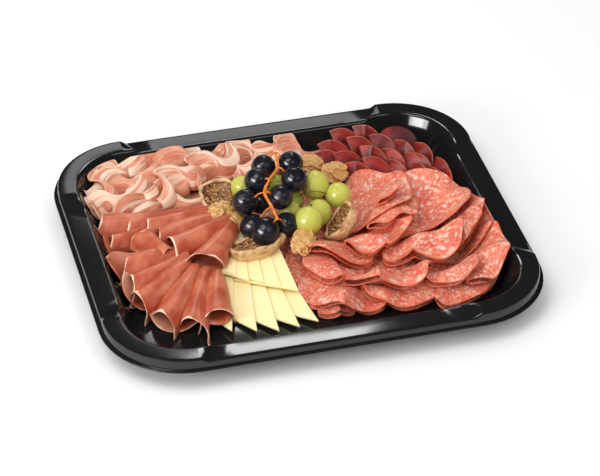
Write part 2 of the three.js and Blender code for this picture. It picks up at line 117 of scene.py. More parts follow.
class PLATTER_PG_pieces(PropertyGroup):
    """Sizes and colours of the cheese, fruit and nuts."""

    cheese_length: size("Cheese Length", 88 * MM, "Long side of a cheese slice")
    cheese_base: size("Cheese Base", 56 * MM, "Short side of a cheese slice")
    cheese_thickness: size("Cheese Thickness", 2 * MM, "Thickness of a cheese slice")
    berry_detail: IntProperty(name="Berry Detail", default=28, min=12, description="Faces round a grape")
    cheese: tint("Cheese", (0.90, 0.76, 0.36), "Cut face of the cheese")
    black_skin: tint("Black Grape", (0.010, 0.010, 0.015), "Skin of the black grapes")
    green_skin: tint("Green Grape", (0.50, 0.52, 0.065), "Skin of the green grapes")
    fig_skin: tint("Fig Skin", (0.80, 0.52, 0.26), "Skin of the dried figs")
    walnut: tint("Walnut", (0.70, 0.40, 0.13), "Walnut kernels")


# ---- Making and finishing meshes ---------------------------------------------------------


def name_piece(name):
    """Names the piece that an operator has just made."""
    piece = bpy.context.active_object
    piece.name = piece.data.name = name
    return piece


def start(name, primitive, **options):
    """Adds a primitive with nothing else selected."""
    bpy.ops.object.select_all(action="DESELECT")
    primitive(**options)
    return name_piece(name)


def pick(*pieces):
    """Selects these pieces alone, the first of them active."""
    bpy.ops.object.select_all(action="DESELECT")
    for piece in pieces:
        piece.select_set(True)
    bpy.context.view_layer.objects.active = pieces[0]


def points_of(piece):
    """The piece's vertices as an array."""
    points = np.empty(3 * len(piece.data.vertices))
    piece.data.vertices.foreach_get("co", points)
    return points.reshape(-1, 3)


def move_points(piece, points):
    """Puts the piece's vertices at these places."""
    piece.data.vertices.foreach_set("co", np.ascontiguousarray(points, dtype=float).ravel())
    piece.data.update()


def modify(piece, kind, **settings):
    """Adds a modifier with these settings and applies it."""
    pick(piece)
    modifier = piece.modifiers.new(kind.title(), kind)
    for setting, value in settings.items():
        setattr(modifier, setting, value)
    bpy.ops.object.modifier_apply(modifier=modifier.name)


def smooth(piece, angle=None):
    """Shades the piece smooth, apart from edges sharper than an angle in degrees."""
    pick(piece)
    if angle is None:
        bpy.ops.object.shade_smooth()
    else:
        bpy.ops.object.shade_smooth_by_angle(angle=math.radians(angle))


def close_mesh(piece, distance=1e-5):
    """Merges doubled points and turns every face outwards."""
    pick(piece)
    bpy.ops.object.mode_set(mode="EDIT")
    bpy.ops.mesh.select_all(action="SELECT")
    bpy.ops.mesh.remove_doubles(threshold=distance)
    bpy.ops.mesh.normals_make_consistent(inside=False)
    bpy.ops.object.mode_set(mode="OBJECT")


def join(name, pieces):
    """Joins pieces to one."""
    pick(*pieces)
    bpy.ops.object.join()
    return name_piece(name)


def dress(piece, material, slot, node=None):
    """Gives a finished piece its material and its body, and hides the CAD node that it stands for."""
    piece.data.materials.clear()
    piece.data.materials.append(material)
    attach(piece, "root")
    if node:
        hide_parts(node)


def turned(points, at, heading=0, pitch=0, roll=0):
    """Points in millimetres, rolled on +X, pitched up at +X, turned in plan and moved to at."""
    matrix = (
        Matrix.Rotation(math.radians(heading), 3, "Z")
        @ Matrix.Rotation(math.radians(-pitch), 3, "Y")
        @ Matrix.Rotation(math.radians(roll), 3, "X")
    )
    return points @ np.array(matrix).T + np.array(at)


# ---- The pile: how high the food already stands ------------------------------------------

CELL = 1.5  # mm
WALL_INSETS = (RIM_INNER, 32.0, 34.8, FLOOR_EDGE)
WALL_HEIGHTS = (RIM_HEIGHT, 5.3, 2.4, 1.4)


def tray_inset(x, y):
    """How far a point lies inside the tray's lip, in plan."""
    away_x = np.abs(x) - (TRAY_HIGH[0] - CORNER)
    away_y = np.abs(y) - (TRAY_HIGH[1] - CORNER)
    outside = np.hypot(np.maximum(away_x, 0), np.maximum(away_y, 0))
    return CORNER - outside - np.minimum(np.maximum(away_x, away_y), 0)


def tray_height(x, y):
    """Height of the tray's inner surface."""
    return np.interp(tray_inset(x, y), WALL_INSETS, WALL_HEIGHTS)


class Pile:
    """A height map of the tray and the food laid in it so far, in millimetres."""

    def __init__(self):
        self.low = TRAY_LOW[:2] - 2 * CELL
        count = np.ceil((TRAY_HIGH[:2] - self.low) / CELL).astype(int) + 2
        xs = self.low[0] + CELL * np.arange(count[0])
        ys = self.low[1] + CELL * np.arange(count[1])
        self.height = tray_height(*np.meshgrid(xs, ys, indexing="ij"))
        self.settle()

    def settle(self, spread=2, blur=3):
        """Works out the surface that a soft slice would lie on."""
        soft = self.height
        for _ in range(spread):
            soft = np.maximum.reduce([np.roll(soft, s, a) for a in (0, 1) for s in (-1, 0, 1)])
        for _ in range(3):
            for axis in (0, 1):
                soft = sum(np.roll(soft, s, axis) for s in range(-blur, blur + 1)) / (2 * blur + 1)
        self.soft = soft

    def under(self, x, y):
        """The soft surface below these points."""
        column = np.clip((x - self.low[0]) / CELL, 0, self.soft.shape[0] - 1.001)
        row = np.clip((y - self.low[1]) / CELL, 0, self.soft.shape[1] - 1.001)
        i, j = column.astype(int), row.astype(int)
        u, v = column - i, row - j
        near = self.soft[i, j] * (1 - v) + self.soft[i, j + 1] * v
        far = self.soft[i + 1, j] * (1 - v) + self.soft[i + 1, j + 1] * v
        return near * (1 - u) + far * u

    def add(self, points):
        """Raises the pile to these points."""
        cells = ((points[:, :2] - self.low) / CELL).round().astype(int)
        i, j = np.clip(cells, 0, np.array(self.height.shape) - 1).T
        np.maximum.at(self.height, (i, j), points[:, 2])
        self.settle()


PILE = Pile()


# ---- Sheets: the surfaces that slices follow ---------------------------------------------


def round_outline(u, v):
    """Takes a square of side 2 to a round slice."""
    return u * np.sqrt(1 - v * v / 2), v * np.sqrt(1 - u * u / 2)


def square_outline(u, v):
    """Keeps the square."""
    return u, v


HIDDEN_SHARE = 0.86  # how far the lower half of a folded slice reaches under the upper


def half_moon(p, q, radius, ripple, waves, phase, bend=2.6, opening=3, lean=5, squeeze=1, sag=0.45):
    """A round slice folded over a soft bend, its open edge towards +X, gathered into lobes."""
    along = radius * np.where(p > 0, p, HIDDEN_SHARE * p)
    turn = np.clip(along / bend, -RIGHT, RIGHT)
    past = np.maximum(np.abs(along) - RIGHT * bend, 0)
    rise = past / radius
    upper = (p > 0).astype(float)
    swing = waves * math.pi * q + phase + 0.4 * upper * rise
    swell = (0.12 + rise) ** 0.8 * (1 - sag * rise ** 2)
    lift = ripple * swell * (1 + np.sin(swing)) / 2
    side = radius * squeeze * q * (1 - 0.10 * q ** 4) + lean * rise * np.cos(swing)
    forward = past * (1 - 0.10 * ripple / radius * rise) + 0.12 * ripple * rise * np.sin(swing)
    forward = forward + 0.20 * radius * q ** 4
    z = bend * (1 + np.sin(turn)) + upper * past * math.tan(math.radians(opening))
    z = z + lift * (0.85 + 0.15 * upper)
    return np.stack([bend * (1 - np.cos(turn)) + forward, side, z], axis=-1)


def wavy_disc(p, q, radius, ripple, waves, phase):
    """A round slice laid nearly flat, its rim rising and falling."""
    reach = p * p + q * q
    swing = waves * np.arctan2(q, p) + phase
    z = ripple * reach * (1 + np.sin(swing)) / 2
    z = z + 0.18 * ripple * np.sin(4.3 * p + phase) * np.cos(3.7 * q - phase)
    return np.stack([radius * p, radius * q, z], axis=-1)


def arch(p, q, length, mouth, lead, twist, bend, tail=4.5, leg=0.75, hook=1.5):
    """A slice folded to an arch that widens from its tail at the origin to a mouth along +X."""
    share = (q + 1) / 2
    radius = tail + (mouth - tail) * share ** 0.8
    radius = radius * (1 + 0.07 * np.sin(6.5 * share + 9 * twist))
    angle = p * (RIGHT + leg) + twist * share
    turn = np.clip(angle, -RIGHT, RIGHT)
    past = np.abs(angle) - np.abs(turn)
    crease = 0.07 * np.sin(5 * p + 3 * share + 7 * twist) + 0.03 * np.sin(13 * p + 5 * share)
    curled = hook * past ** 2 * np.sign(angle)
    return np.stack([
        length * share + lead * p * share ** 1.5 - 1.5 * share * np.cos(2 * turn),
        radius * (np.sin(turn) * (1 - crease) + 0.2 * np.sign(angle) * past) - curled
        + bend * share * share,
        radius * (np.cos(turn) * (1 + crease) - past),
    ], axis=-1)


def petal(p, q, radius, flap, spread=0.64, height=2.6, cup=3.4, fall=0.12):
    """A slice folded twice: a flattened cone from its point at the origin to a round edge."""
    share = 0.5 + 0.5 * q
    angle = p * 2.7
    side = np.sin(angle)
    reach = radius * (0.14 + 0.86 * share) * (1 - fall * (1 - side) ** 2 * share)
    curl = flap * np.maximum(p - 0.5, 0) ** 2 / 0.25
    arc = cup * share * share * (1 - side * side) + 0.5 * np.sin(7 * side + 5 * share)
    return np.stack([
        reach * np.cos(spread * side),
        reach * np.sin(spread * side),
        share * (height * np.cos(angle) + curl) + arc,
    ], axis=-1)


def ribbon(p, q, length, height, phase, roll=115, sway=8, waves=1.5):
    """A rumpled slice: it stands on its gathered edge and rolls back as it rises."""
    share = (p + 1) / 2
    arc = height / math.radians(roll)
    swing = waves * math.pi * q + phase
    turn = math.radians(roll) * share * (1 + 0.18 * np.sin(swing + 0.8))
    loose = 0.55 + 0.45 * share
    taper = 1 - 0.5 * q ** 4
    return np.stack([
        length * q / 2 - 0.45 * sway * loose * np.sin(2 * swing),
        arc * (1 - np.cos(turn)) * taper + sway * loose * np.sin(swing),
        arc * np.sin(turn) * taper + 2.2 * share * np.cos(1.7 * swing + 2 * phase),
    ], axis=-1)


SHEETS = {
    "half_moon": (half_moon, round_outline),
    "disc": (wavy_disc, round_outline),
    "arch": (arch, square_outline),
    "petal": (petal, square_outline),
    "ribbon": (ribbon, square_outline),
}
SHEET_FACES = 26
PILE_SAMPLES = 90
SLICE_APART = 0.317  # between the patterns of two slices
WALL_CLEARANCE, FLOOR_CLEARANCE, LOOSE = 0.8, 0.3, 0.3  # mm


def keep_in_tray(points):
    """Holds points inside the walls and above the tray's inner surface."""
    x, y = points[:, 0], points[:, 1]
    push = np.maximum(WALL_INSETS[0] + WALL_CLEARANCE - tray_inset(x, y), 0)
    inward_x = tray_inset(x + 0.5, y) - tray_inset(x - 0.5, y)
    inward_y = tray_inset(x, y + 0.5) - tray_inset(x, y - 0.5)
    points[:, 0] += push * inward_x
    points[:, 1] += push * inward_y
    points[:, 2] = np.maximum(points[:, 2], tray_height(points[:, 0], points[:, 1]) + FLOOR_CLEARANCE)


def sheet_points(kind, u, v, place, options, resting):
    """Points of a placed sheet, and their place in the flat slice."""
    surface, outline = SHEETS[kind]
    p, q = outline(u, v)
    points = turned(surface(p, q, **options), **place)
    if resting:
        points[:, 2] += PILE.under(points[:, 0], points[:, 1])
    keep_in_tray(points)
    return points, p, q


def paint_slice(piece, p, q, reach, number):
    """UV maps: the flat slice at true size, apart from its neighbours, and its outline."""
    loops = np.empty(len(piece.data.loops), dtype=int)
    piece.data.loops.foreach_get("vertex_index", loops)
    flat = np.stack([reach * p, reach * q], axis=-1) * MM + SLICE_APART * number
    while piece.data.uv_layers:
        piece.data.uv_layers.remove(piece.data.uv_layers[0])
    for name, values in (("slice", flat), ("outline", np.stack([p, q], axis=-1) / 2 + 0.5)):
        piece.data.uv_layers.new(name=name).data.foreach_set("uv", values[loops].ravel())


def mark_points(piece, name, values):
    """Stores a number for each point of the piece."""
    piece.data.attributes.new(name, "FLOAT", "POINT").data.foreach_set("value", values)


def lay_slice(name, kind, place, thickness, number, finish, node=None, resting=False, reach=41, **options):
    """Models one slice: a grid laid on its folded surface, thickened, smoothed and dressed."""
    piece = start(
        name, bpy.ops.mesh.primitive_grid_add, x_subdivisions=SHEET_FACES, y_subdivisions=SHEET_FACES, size=2
    )
    flat = points_of(piece)
    points, p, q = sheet_points(kind, flat[:, 0], flat[:, 1], place, options, resting)
    points[:, 2] += thickness / 2
    move_points(piece, points * MM)
    paint_slice(piece, p, q, reach, number)
    modify(piece, "SOLIDIFY", thickness=thickness * MM, offset=0)
    mark_points(piece, "inner", np.arange(len(piece.data.vertices)) < len(flat))
    modify(piece, "SUBSURF", levels=1, render_levels=1)
    smooth(piece)
    steps = np.linspace(-1, 1, PILE_SAMPLES)
    u, v = (axis.ravel() for axis in np.meshgrid(steps, steps))
    top = sheet_points(kind, u, v, place, options, resting)[0]
    PILE.add(top + (0, 0, thickness))
    dress(piece, *finish, node)


def lay_bed(name, bed, thickness, first, finish):
    """Lays loose round slices below a fold of meat."""
    for number, (at, radius) in enumerate(bed):
        lay_slice(
            f"{name}_{number + 1}", "disc", {"at": (*at, LOOSE), "heading": 70 * number}, thickness,
            first + number, finish, resting=True, reach=32, radius=radius, ripple=5, waves=3, phase=number,
        )


# ---- Materials ---------------------------------------------------------------------------


class Nodes:
    """A new material and short ways to add its nodes."""

    def __init__(self, name):
        self.material = bpy.data.materials.new(name)
        self.material.use_nodes = True
        self.tree = self.material.node_tree
        self.shader = self.tree.nodes["Principled BSDF"]

    def add(self, kind, inputs=None, **settings):
        """A node with its settings, and its inputs as values or links."""
        node = self.tree.nodes.new(kind)
        for setting, value in settings.items():
            setattr(node, setting, value)
        for socket, value in (inputs or {}).items():
            self.put(node.inputs[socket], value)
        return node

    def put(self, socket, value):
        """Sets a socket, or links it."""
        if isinstance(value, bpy.types.NodeSocket):
            self.tree.links.new(value, socket)
        elif socket.type == "RGBA":
            socket.default_value = (*value, 1)
        else:
            socket.default_value = value

    def place(self):
        """Object coordinates."""
        return self.add("ShaderNodeTexCoord").outputs["Object"]

    def flat(self, layer="slice"):
        """A UV map of the flat slice."""
        return self.add("ShaderNodeUVMap", uv_map=layer).outputs["UV"]

    def noise(self, vector, scale, detail=2, roughness=0.5, distortion=0):
        """Noise from 0 to 1."""
        inputs = {"Vector": vector, "Scale": scale, "Detail": detail, "Roughness": roughness,
                  "Distortion": distortion}
        return self.add("ShaderNodeTexNoise", inputs).outputs["Fac"]

    def cells(self, vector, scale, smoothness=None):
        """Distance to the nearest cell, smoothed or not."""
        inputs = {"Vector": vector, "Scale": scale}
        if smoothness is not None:
            inputs["Smoothness"] = smoothness
        feature = "F1" if smoothness is None else "SMOOTH_F1"
        return self.add("ShaderNodeTexVoronoi", inputs, feature=feature).outputs["Distance"]

    def step(self, value, low, high, flip=False):
        """A soft step from 0 at low to 1 at high."""
        inputs = {"Value": value, "From Min": low, "From Max": high,
                  "To Min": 1.0 if flip else 0.0, "To Max": 0.0 if flip else 1.0}
        return self.add("ShaderNodeMapRange", inputs, interpolation_type="SMOOTHSTEP").outputs["Result"]

    def patches(self, vector, scale, detail, low, high, *rough):
        """Noise with a soft step from 0 at low to 1 at high."""
        return self.step(self.noise(vector, scale, detail, *rough), low, high)

    def spread(self, value, low, high):
        """Takes 0 to 1 to a range."""
        inputs = {"Value": value, "To Min": low, "To Max": high}
        return self.add("ShaderNodeMapRange", inputs).outputs["Result"]

    def math(self, operation, a, b):
        """Arithmetic on two values."""
        return self.add("ShaderNodeMath", {0: a, 1: b}, operation=operation).outputs[0]

    def times(self, a, b):
        """Their product."""
        return self.math("MULTIPLY", a, b)

    def plus(self, a, b):
        """Their sum."""
        return self.math("ADD", a, b)

    def mix(self, share, a, b):
        """A mix of two colours."""
        return self.add("ShaderNodeMix", {0: share, 6: a, 7: b}, data_type="RGBA").outputs[2]

    def over(self, tone, colour, share, strength):
        """A colour laid over a tone where the share says, at a strength."""
        return self.mix(self.times(share, strength), tone, colour)

    def stretch(self, vector, scale):
        """The vector scaled along each axis."""
        return self.add("ShaderNodeMapping", {"Vector": vector, "Scale": scale}).outputs["Vector"]

    def outline(self):
        """The places across and along the flat slice, each from 0 to 1."""
        parts = self.add("ShaderNodeSeparateXYZ", {"Vector": self.flat("outline")}).outputs
        return parts["X"], parts["Y"]

    def attribute(self, name):
        """A number stored at each point."""
        return self.add("ShaderNodeAttribute", attribute_name=name).outputs["Fac"]

    def pointiness(self):
        """High on ridges, low in furrows."""
        return self.add("ShaderNodeNewGeometry").outputs["Pointiness"]

    def rim(self):
        """0 in the middle of a round slice, 1 at its outline."""
        centred = self.add("ShaderNodeVectorMath", {0: self.flat("outline"), 1: (0.5, 0.5, 0.0)},
                           operation="SUBTRACT").outputs[0]
        length = self.add("ShaderNodeVectorMath", {0: centred}, operation="LENGTH").outputs["Value"]
        return self.math("MULTIPLY", length, 2.0)

    def bump(self, height, strength, distance):
        """A bump on the shader's normal."""
        inputs = {"Height": height, "Strength": strength, "Distance": distance}
        self.put(self.shader.inputs["Normal"], self.add("ShaderNodeBump", inputs).outputs["Normal"])

    def finish(self, **sockets):
        """Sets the shader's own sockets and gives the material back."""
        for socket, value in sockets.items():
            self.put(self.shader.inputs[socket.replace("_", " ")], value)
        return self.material


def salami_material(meats):
    """Coral lean with a dense net of pale fat specks, peppered, and an orange-red rim."""
    n = Nodes("salami")
    flat = n.flat()
    warp = n.add("ShaderNodeTexNoise", {"Vector": flat, "Scale": 150, "Detail": 2}).outputs["Color"]
    swirl = n.add(
        "ShaderNodeVectorMath", {0: warp, 1: (0.005, 0.005, 0), 2: flat}, operation="MULTIPLY_ADD"
    ).outputs[0]
    specks = n.plus(n.cells(swirl, 250, 0.35), n.times(n.noise(flat, 60, 3), 0.75))
    specks = n.step(specks, 0.52, 0.90, flip=True)
    grit = n.times(n.patches(flat, 420, 4, 0.42, 0.66, 0.7), 0.55)
    lumps = n.times(n.step(n.cells(swirl, 130), 0.08, 0.34, flip=True), 0.9)
    fat = n.math("MAXIMUM", n.math("MAXIMUM", specks, grit), lumps)
    tone = n.mix(n.patches(flat, 70, 3, 0.35, 0.65), meats.salami_lean, (0.78, 0.17, 0.085))
    tone = n.over(tone, meats.salami_fat, fat, 0.88)
    tone = n.over(tone, (0.70, 0.12, 0.03), n.step(n.rim(), 0.965, 0.99), 0.75)
    pepper = n.step(n.cells(flat, 85), 0.05, 0.075, flip=True)
    tone = n.over(tone, (0.05, 0.022, 0.015), pepper, 0.85)
    n.bump(n.plus(n.times(fat, 0.5), n.noise(flat, 1400, 3)), 0.30, 0.0004)
    return n.finish(
        Base_Color=tone, Roughness=n.spread(n.noise(flat, 300), 0.30, 0.5), Specular_IOR_Level=0.4,
        Subsurface_Weight=0.28, Subsurface_Radius=(0.006, 0.0015, 0.001),
    )


def ham_material(meats):
    """Smooth warm pink, finely grained along the slice, with broad pale bands of painted sheen and a thin
    pale fat edge.
    """
    n = Nodes("cured_ham")
    flat = n.flat()
    grain = n.noise(n.stretch(flat, (420, 60, 1)), 1, 4, 0.6, 0.4)
    tone = n.mix(n.patches(flat, 38, 3, 0.36, 0.64, 0.55), meats.ham_lean, (0.60, 0.17, 0.085))
    # painted sheen: broad pale bands along the slice stand in for the gloss on the crests of its folds
    pale = n.patches(n.stretch(flat, (70, 16, 1)), 1, 3, 0.54, 0.74, 0.6)
    tone = n.over(tone, (0.72, 0.31, 0.19), pale, 0.5)
    tone = n.over(tone, (0.78, 0.42, 0.28), n.step(grain, 0.54, 0.78), 0.35)
    across, along = n.outline()
    wander = n.times(n.noise(flat, 70), 0.16)
    across = n.plus(across, wander)
    along = n.plus(along, n.math("SUBTRACT", wander, 0.08))
    tone = n.over(tone, meats.ham_fat, n.step(along, 0.972, 0.994), 0.9)
    tone = n.over(tone, meats.ham_fat, n.step(across, 1.02, 1.10), 0.8)
    lining = n.times(n.attribute("inner"), n.step(across, 0.62, 0.95))
    tone = n.over(tone, (0.92, 0.58, 0.40), lining, 0.38)
    n.bump(n.plus(grain, n.noise(flat, 900)), 0.22, 0.0005)
    return n.finish(
        Base_Color=tone, Roughness=0.36, Specular_IOR_Level=0.5,
        Subsurface_Weight=0.15, Subsurface_Radius=(0.004, 0.0015, 0.001),
    )


def coppa_material(meats):
    """Pink lean broken by wide winding streaks of pale fat."""
    n = Nodes("marbled_neck_ham")
    flat = n.flat()
    fatness = n.times(n.math("SUBTRACT", n.noise(flat, 11, 1), 0.5), 0.7)
    streak = n.noise(n.stretch(flat, (58, 16, 1)), 1, 3, 0.55, 0.8)
    streak = n.step(n.plus(streak, fatness), 0.50, 0.57)
    fine = n.patches(n.stretch(flat, (260, 60, 1)), 1, 3, 0.52, 0.60, 0.6, 1)
    tone = n.mix(n.patches(flat, 60, 2, 0.35, 0.65), meats.coppa_lean, (0.72, 0.30, 0.18))
    tone = n.over(tone, meats.coppa_fat, fine, 0.35)
    tone = n.over(tone, (0.50, 0.13, 0.065), n.patches(flat, 9, 1, 0.50, 0.62), 0.5)
    tone = n.over(tone, meats.coppa_fat, streak, 0.92)
    tone = n.over(tone, (0.90, 0.64, 0.45), n.step(n.outline()[0], 0.955, 0.985), 0.75)
    n.bump(n.plus(streak, n.noise(flat, 700)), 0.2, 0.0005)
    return n.finish(
        Base_Color=tone, Roughness=0.34, Specular_IOR_Level=0.5,
        Subsurface_Weight=0.18, Subsurface_Radius=(0.005, 0.002, 0.0012),
    )


def beef_material(meats):
    """Dark wine red, faintly veined, with patches of painted sheen, redder patches partly painted as light
    through thin meat, painted shade towards each petal's point, and a thin paler rim.
    """
    n = Nodes("air_dried_beef")
    flat = n.flat()
    # two random tones of lean; the redder one also stands in for light glowing through thin meat, so it is
    # partly painted light
    tone = n.mix(n.patches(flat, 42, 2, 0.35, 0.65), meats.beef_lean, (0.36, 0.020, 0.014))
    # painted sheen: paler veiled patches stand in for the gloss on the slices
    tone = n.over(tone, (0.26, 0.055, 0.050), n.patches(flat, 20, 2, 0.46, 0.64), 0.4)
    veins = n.patches(flat, 130, 4, 0.56, 0.72, 0.65, 0.8)
    tone = n.over(tone, (0.40, 0.10, 0.075), veins, 0.30)
    _, along = n.outline()
    uneven = n.math("SUBTRACT", n.times(n.noise(flat, 160, 3), 0.05), 0.025)
    tone = n.over(tone, meats.beef_rim, n.step(n.plus(along, uneven), 0.955, 0.99), 0.75)
    # painted shade: the slice darkens towards its folded point, deep inside the petal's cone
    tone = n.mix(n.step(along, 0.30, 0.80, flip=True), tone, (0.08, 0.006, 0.006))
    n.bump(n.noise(flat, 500, 3), 0.25, 0.0005)
    return n.finish(
        Base_Color=tone, Roughness=0.38, Specular_IOR_Level=0.22,
        Subsurface_Weight=0.06, Subsurface_Radius=(0.003, 0.001, 0.001),
    )


def cheese_material(pieces):
    """Pale yellow, smooth, with painted shade along the cut edges."""
    n = Nodes("sliced_cheese")
    place = n.place()
    tone = n.mix(n.noise(place, 30), pieces.cheese, (0.96, 0.86, 0.52))
    # painted shade: the convex cut edges are darkened to a deeper yellow line
    tone = n.over(tone, (0.80, 0.60, 0.18), n.step(n.pointiness(), 0.52, 0.60), 0.5)
    n.bump(n.noise(place, 700, 3), 0.12, 0.0004)
    return n.finish(
        Base_Color=tone, Roughness=0.42, Specular_IOR_Level=0.4,
        Subsurface_Weight=0.25, Subsurface_Radius=(0.005, 0.004, 0.002),
    )


def black_grape_material(pieces):
    """Blue-black skin under a patchy grey bloom."""
    n = Nodes("black_grape")
    place = n.place()
    dust = n.times(n.patches(place, 110, 4, 0.42, 0.72, 0.6), n.patches(place, 240, 3, 0.30, 0.70))
    n.bump(n.noise(place, 900), 0.05, 0.0003)
    return n.finish(
        Base_Color=n.over(pieces.black_skin, (0.095, 0.10, 0.135), dust, 0.30),
        Roughness=n.spread(dust, 0.20, 0.46), Specular_IOR_Level=0.5,
    )


def green_grape_material(pieces):
    """Translucent yellow-green skin with faint pale freckles."""
    n = Nodes("green_grape")
    place = n.place()
    tone = n.mix(n.noise(place, 70), pieces.green_skin, (0.62, 0.60, 0.14))
    freckles = n.step(n.cells(place, 420), 0.10, 0.20, flip=True)
    n.bump(n.noise(place, 500), 0.04, 0.0003)
    return n.finish(
        Base_Color=n.over(tone, (0.62, 0.62, 0.22), freckles, 0.3),
        Roughness=0.27, Specular_IOR_Level=0.45,
        Subsurface_Weight=0.6, Subsurface_Radius=(0.006, 0.007, 0.002),
    )


def stalk_material(name, dark, pale):
    """A woody stalk, streaked."""
    n = Nodes(name)
    place = n.place()
    n.bump(n.noise(place, 700, 3), 0.4, 0.0006)
    return n.finish(Base_Color=n.mix(n.patches(place, 300, 3, 0.35, 0.65), dark, pale), Roughness=0.6)


def fig_material(pieces):
    """Tan wrinkled skin with painted shade in its furrows, dusted pale in patches, round brown sticky flesh.
    """
    n = Nodes("dried_fig")
    place = n.place()
    ridge = n.noise(place, 120, 4, 0.65, 0.6)
    # painted shade: the skin darkens in the furrows of the same noise that makes its wrinkles
    skin = n.mix(n.step(ridge, 0.3, 0.6), (0.40, 0.19, 0.06), pieces.fig_skin)
    skin = n.over(skin, (0.76, 0.55, 0.30), n.patches(place, 500, 3, 0.5, 0.7), 0.35)
    flesh = n.mix(n.patches(place, 260, 3, 0.35, 0.65), (0.10, 0.025, 0.01), (0.36, 0.14, 0.04))
    cut = n.step(n.plus(n.attribute("flesh"), n.times(n.noise(place, 200), 0.3)), 0.5, 0.75)
    n.bump(n.plus(ridge, n.noise(place, 600, 3)), 0.6, 0.001)
    return n.finish(Base_Color=n.mix(cut, skin, flesh), Roughness=0.55)


def seed_material():
    """Golden fig seeds."""
    n = Nodes("fig_seeds")
    tone = n.mix(n.noise(n.place(), 300), (0.50, 0.26, 0.07), (0.66, 0.42, 0.16))
    return n.finish(Base_Color=tone, Roughness=0.35)


def walnut_material(pieces):
    """Golden brown skin, with painted shade in the furrows and a painted highlight on the ridges."""
    n = Nodes("walnut_kernel")
    place = n.place()
    deep = n.pointiness()
    # painted shade: darker in the furrows, where pointiness is low
    tone = n.mix(n.step(deep, 0.43, 0.53), (0.34, 0.13, 0.03), pieces.walnut)
    # painted highlight: paler on the sharpest ridges
    tone = n.over(tone, (0.90, 0.64, 0.32), n.step(deep, 0.52, 0.60), 0.7)
    tone = n.over(tone, (0.52, 0.26, 0.08), n.patches(place, 200, 3, 0.5, 0.7), 0.4)
    n.bump(n.noise(place, 420, 3), 0.25, 0.0006)
    return n.finish(Base_Color=tone, Roughness=0.45)


def tray_material(tray):
    """Black gloss plastic with the faint waviness of a thin moulding."""
    n = Nodes("tray_plastic")
    place = n.place()
    n.bump(n.noise(place, 22, 1), 0.12, 0.001)
    rough = n.spread(n.noise(place, 60, 3), 0.07, 0.14)
    return n.finish(Base_Color=tray.plastic, Roughness=rough, Specular_IOR_Level=0.5)


# ---- Tray --------------------------------------------------------------------------------

CORNER_POINTS, RAMP_POINTS, SIDE_POINTS = 14, 4, 5
# Where the ramps up to the raised corners begin and end, at the rim's outer and inner edge.
END_RAMP = ((78.5, 63), (86.5, 73))
SIDE_RAMP = ((107, 97), (112, 102.5))


def quarter_outline(inset, corner):
    """One quarter of the tray's outline at an inset: points and how far each is raised."""
    slant = np.clip((inset - RIM_OUTER) / (RIM_INNER - RIM_OUTER), 0, 1)
    (low_y, high_y), (low_x, high_x) = (
        [outer + (inner - outer) * slant for outer, inner in ramp] for ramp in (END_RAMP, SIDE_RAMP)
    )
    reach_x, reach_y = TRAY_HIGH[0] - inset, TRAY_HIGH[1] - inset
    run = np.linspace(0, 1, SIDE_POINTS, endpoint=False)
    ramp = (1 - np.cos(np.linspace(0, math.pi, RAMP_POINTS))) / 2  # close together at its creases
    points = [(reach_x, low_y * s, 0) for s in run]
    points += [(reach_x, low_y + (high_y - low_y) * s, s) for s in ramp]
    radius = corner - inset
    for angle in np.linspace(0, RIGHT, CORNER_POINTS):
        x = TRAY_HIGH[0] - corner + radius * math.cos(angle)
        points.append((x, TRAY_HIGH[1] - corner + radius * math.sin(angle), 1))
    points += [(high_x + (low_x - high_x) * s, reach_y, 1 - s) for s in ramp]
    points += [(low_x * (1 - s), reach_y, 0) for s in run]
    return np.array(points)


def tray_outline(inset, corner):
    """The whole outline at an inset, counter-clockwise from the middle of the right end."""
    quarter = quarter_outline(inset, corner)
    top, end = (0, TRAY_HIGH[1] - inset, 0), (-(TRAY_HIGH[0] - inset), 0, 0)
    half = np.vstack([quarter, top, quarter[:0:-1] * (-1, 1, 1), end])
    return np.vstack([half, half[1:-1] * (-1, -1, 1)])


def tray_profile(tray):
    """The shell's section as [inset, height, rise, set-back], from under the floor round to it."""
    rim, floor, lip = tray.rim_inset / MM, tray.floor_inset / MM, tray.lip_height / MM
    wall, rise, top = tray.wall / MM, tray.corner_rise / MM, RIM_HEIGHT
    back = 2.5  # the raised corners' inner edge lies this much nearer the lip
    return [
        (floor + 30, 0, 0, 0), (floor, 0, 0, 0), (floor - 2.2, 0.25, 0, 0), (floor - 4.4, 1.2, 0, 0),
        (floor - 7, 4.3, 0, 0), (rim + 1.2, top - 4.5, rise * 0.8, back),
        (rim - 0.6, top - wall - 0.5, rise, back), (rim - 2, top - wall, rise, back),
        (6, top - wall, rise, 0), (4.6, top - wall - 0.6, rise, 0), (4.2, lip + 2, 0, 0),
        (3.9, lip + 0.3, 0, 0), (3.4, lip, 0, 0), (0.2, lip, 0, 0), (0, lip + wall / 2, 0, 0),
        (0.2, lip + wall, 0, 0), (2.0, lip + wall, 0, 0), (2.7, lip + wall + 0.4, 0, 0),
        (2.9, lip + wall + 1.4, 0.3, 0), (3.2, top - 1.6, rise, 0), (3.7, top - 0.5, rise, 0),
        (4.8, top, rise, 0), (6, top, rise, 0), (rim - 3.2, top, rise, back),
        (rim - 1.6, top - 0.15, rise, back), (rim - 0.5, top - 0.8, rise, back),
        (rim + 0.3, top - 2, rise * 0.95, back), (floor - 6.2, 5.6, 0.1, 0), (floor - 4.6, 3.2, 0, 0),
        (floor - 2.4, 1.8, 0, 0), (floor, 1.35, 0, 0), (floor + 30, 1.3, 0, 0),
    ]


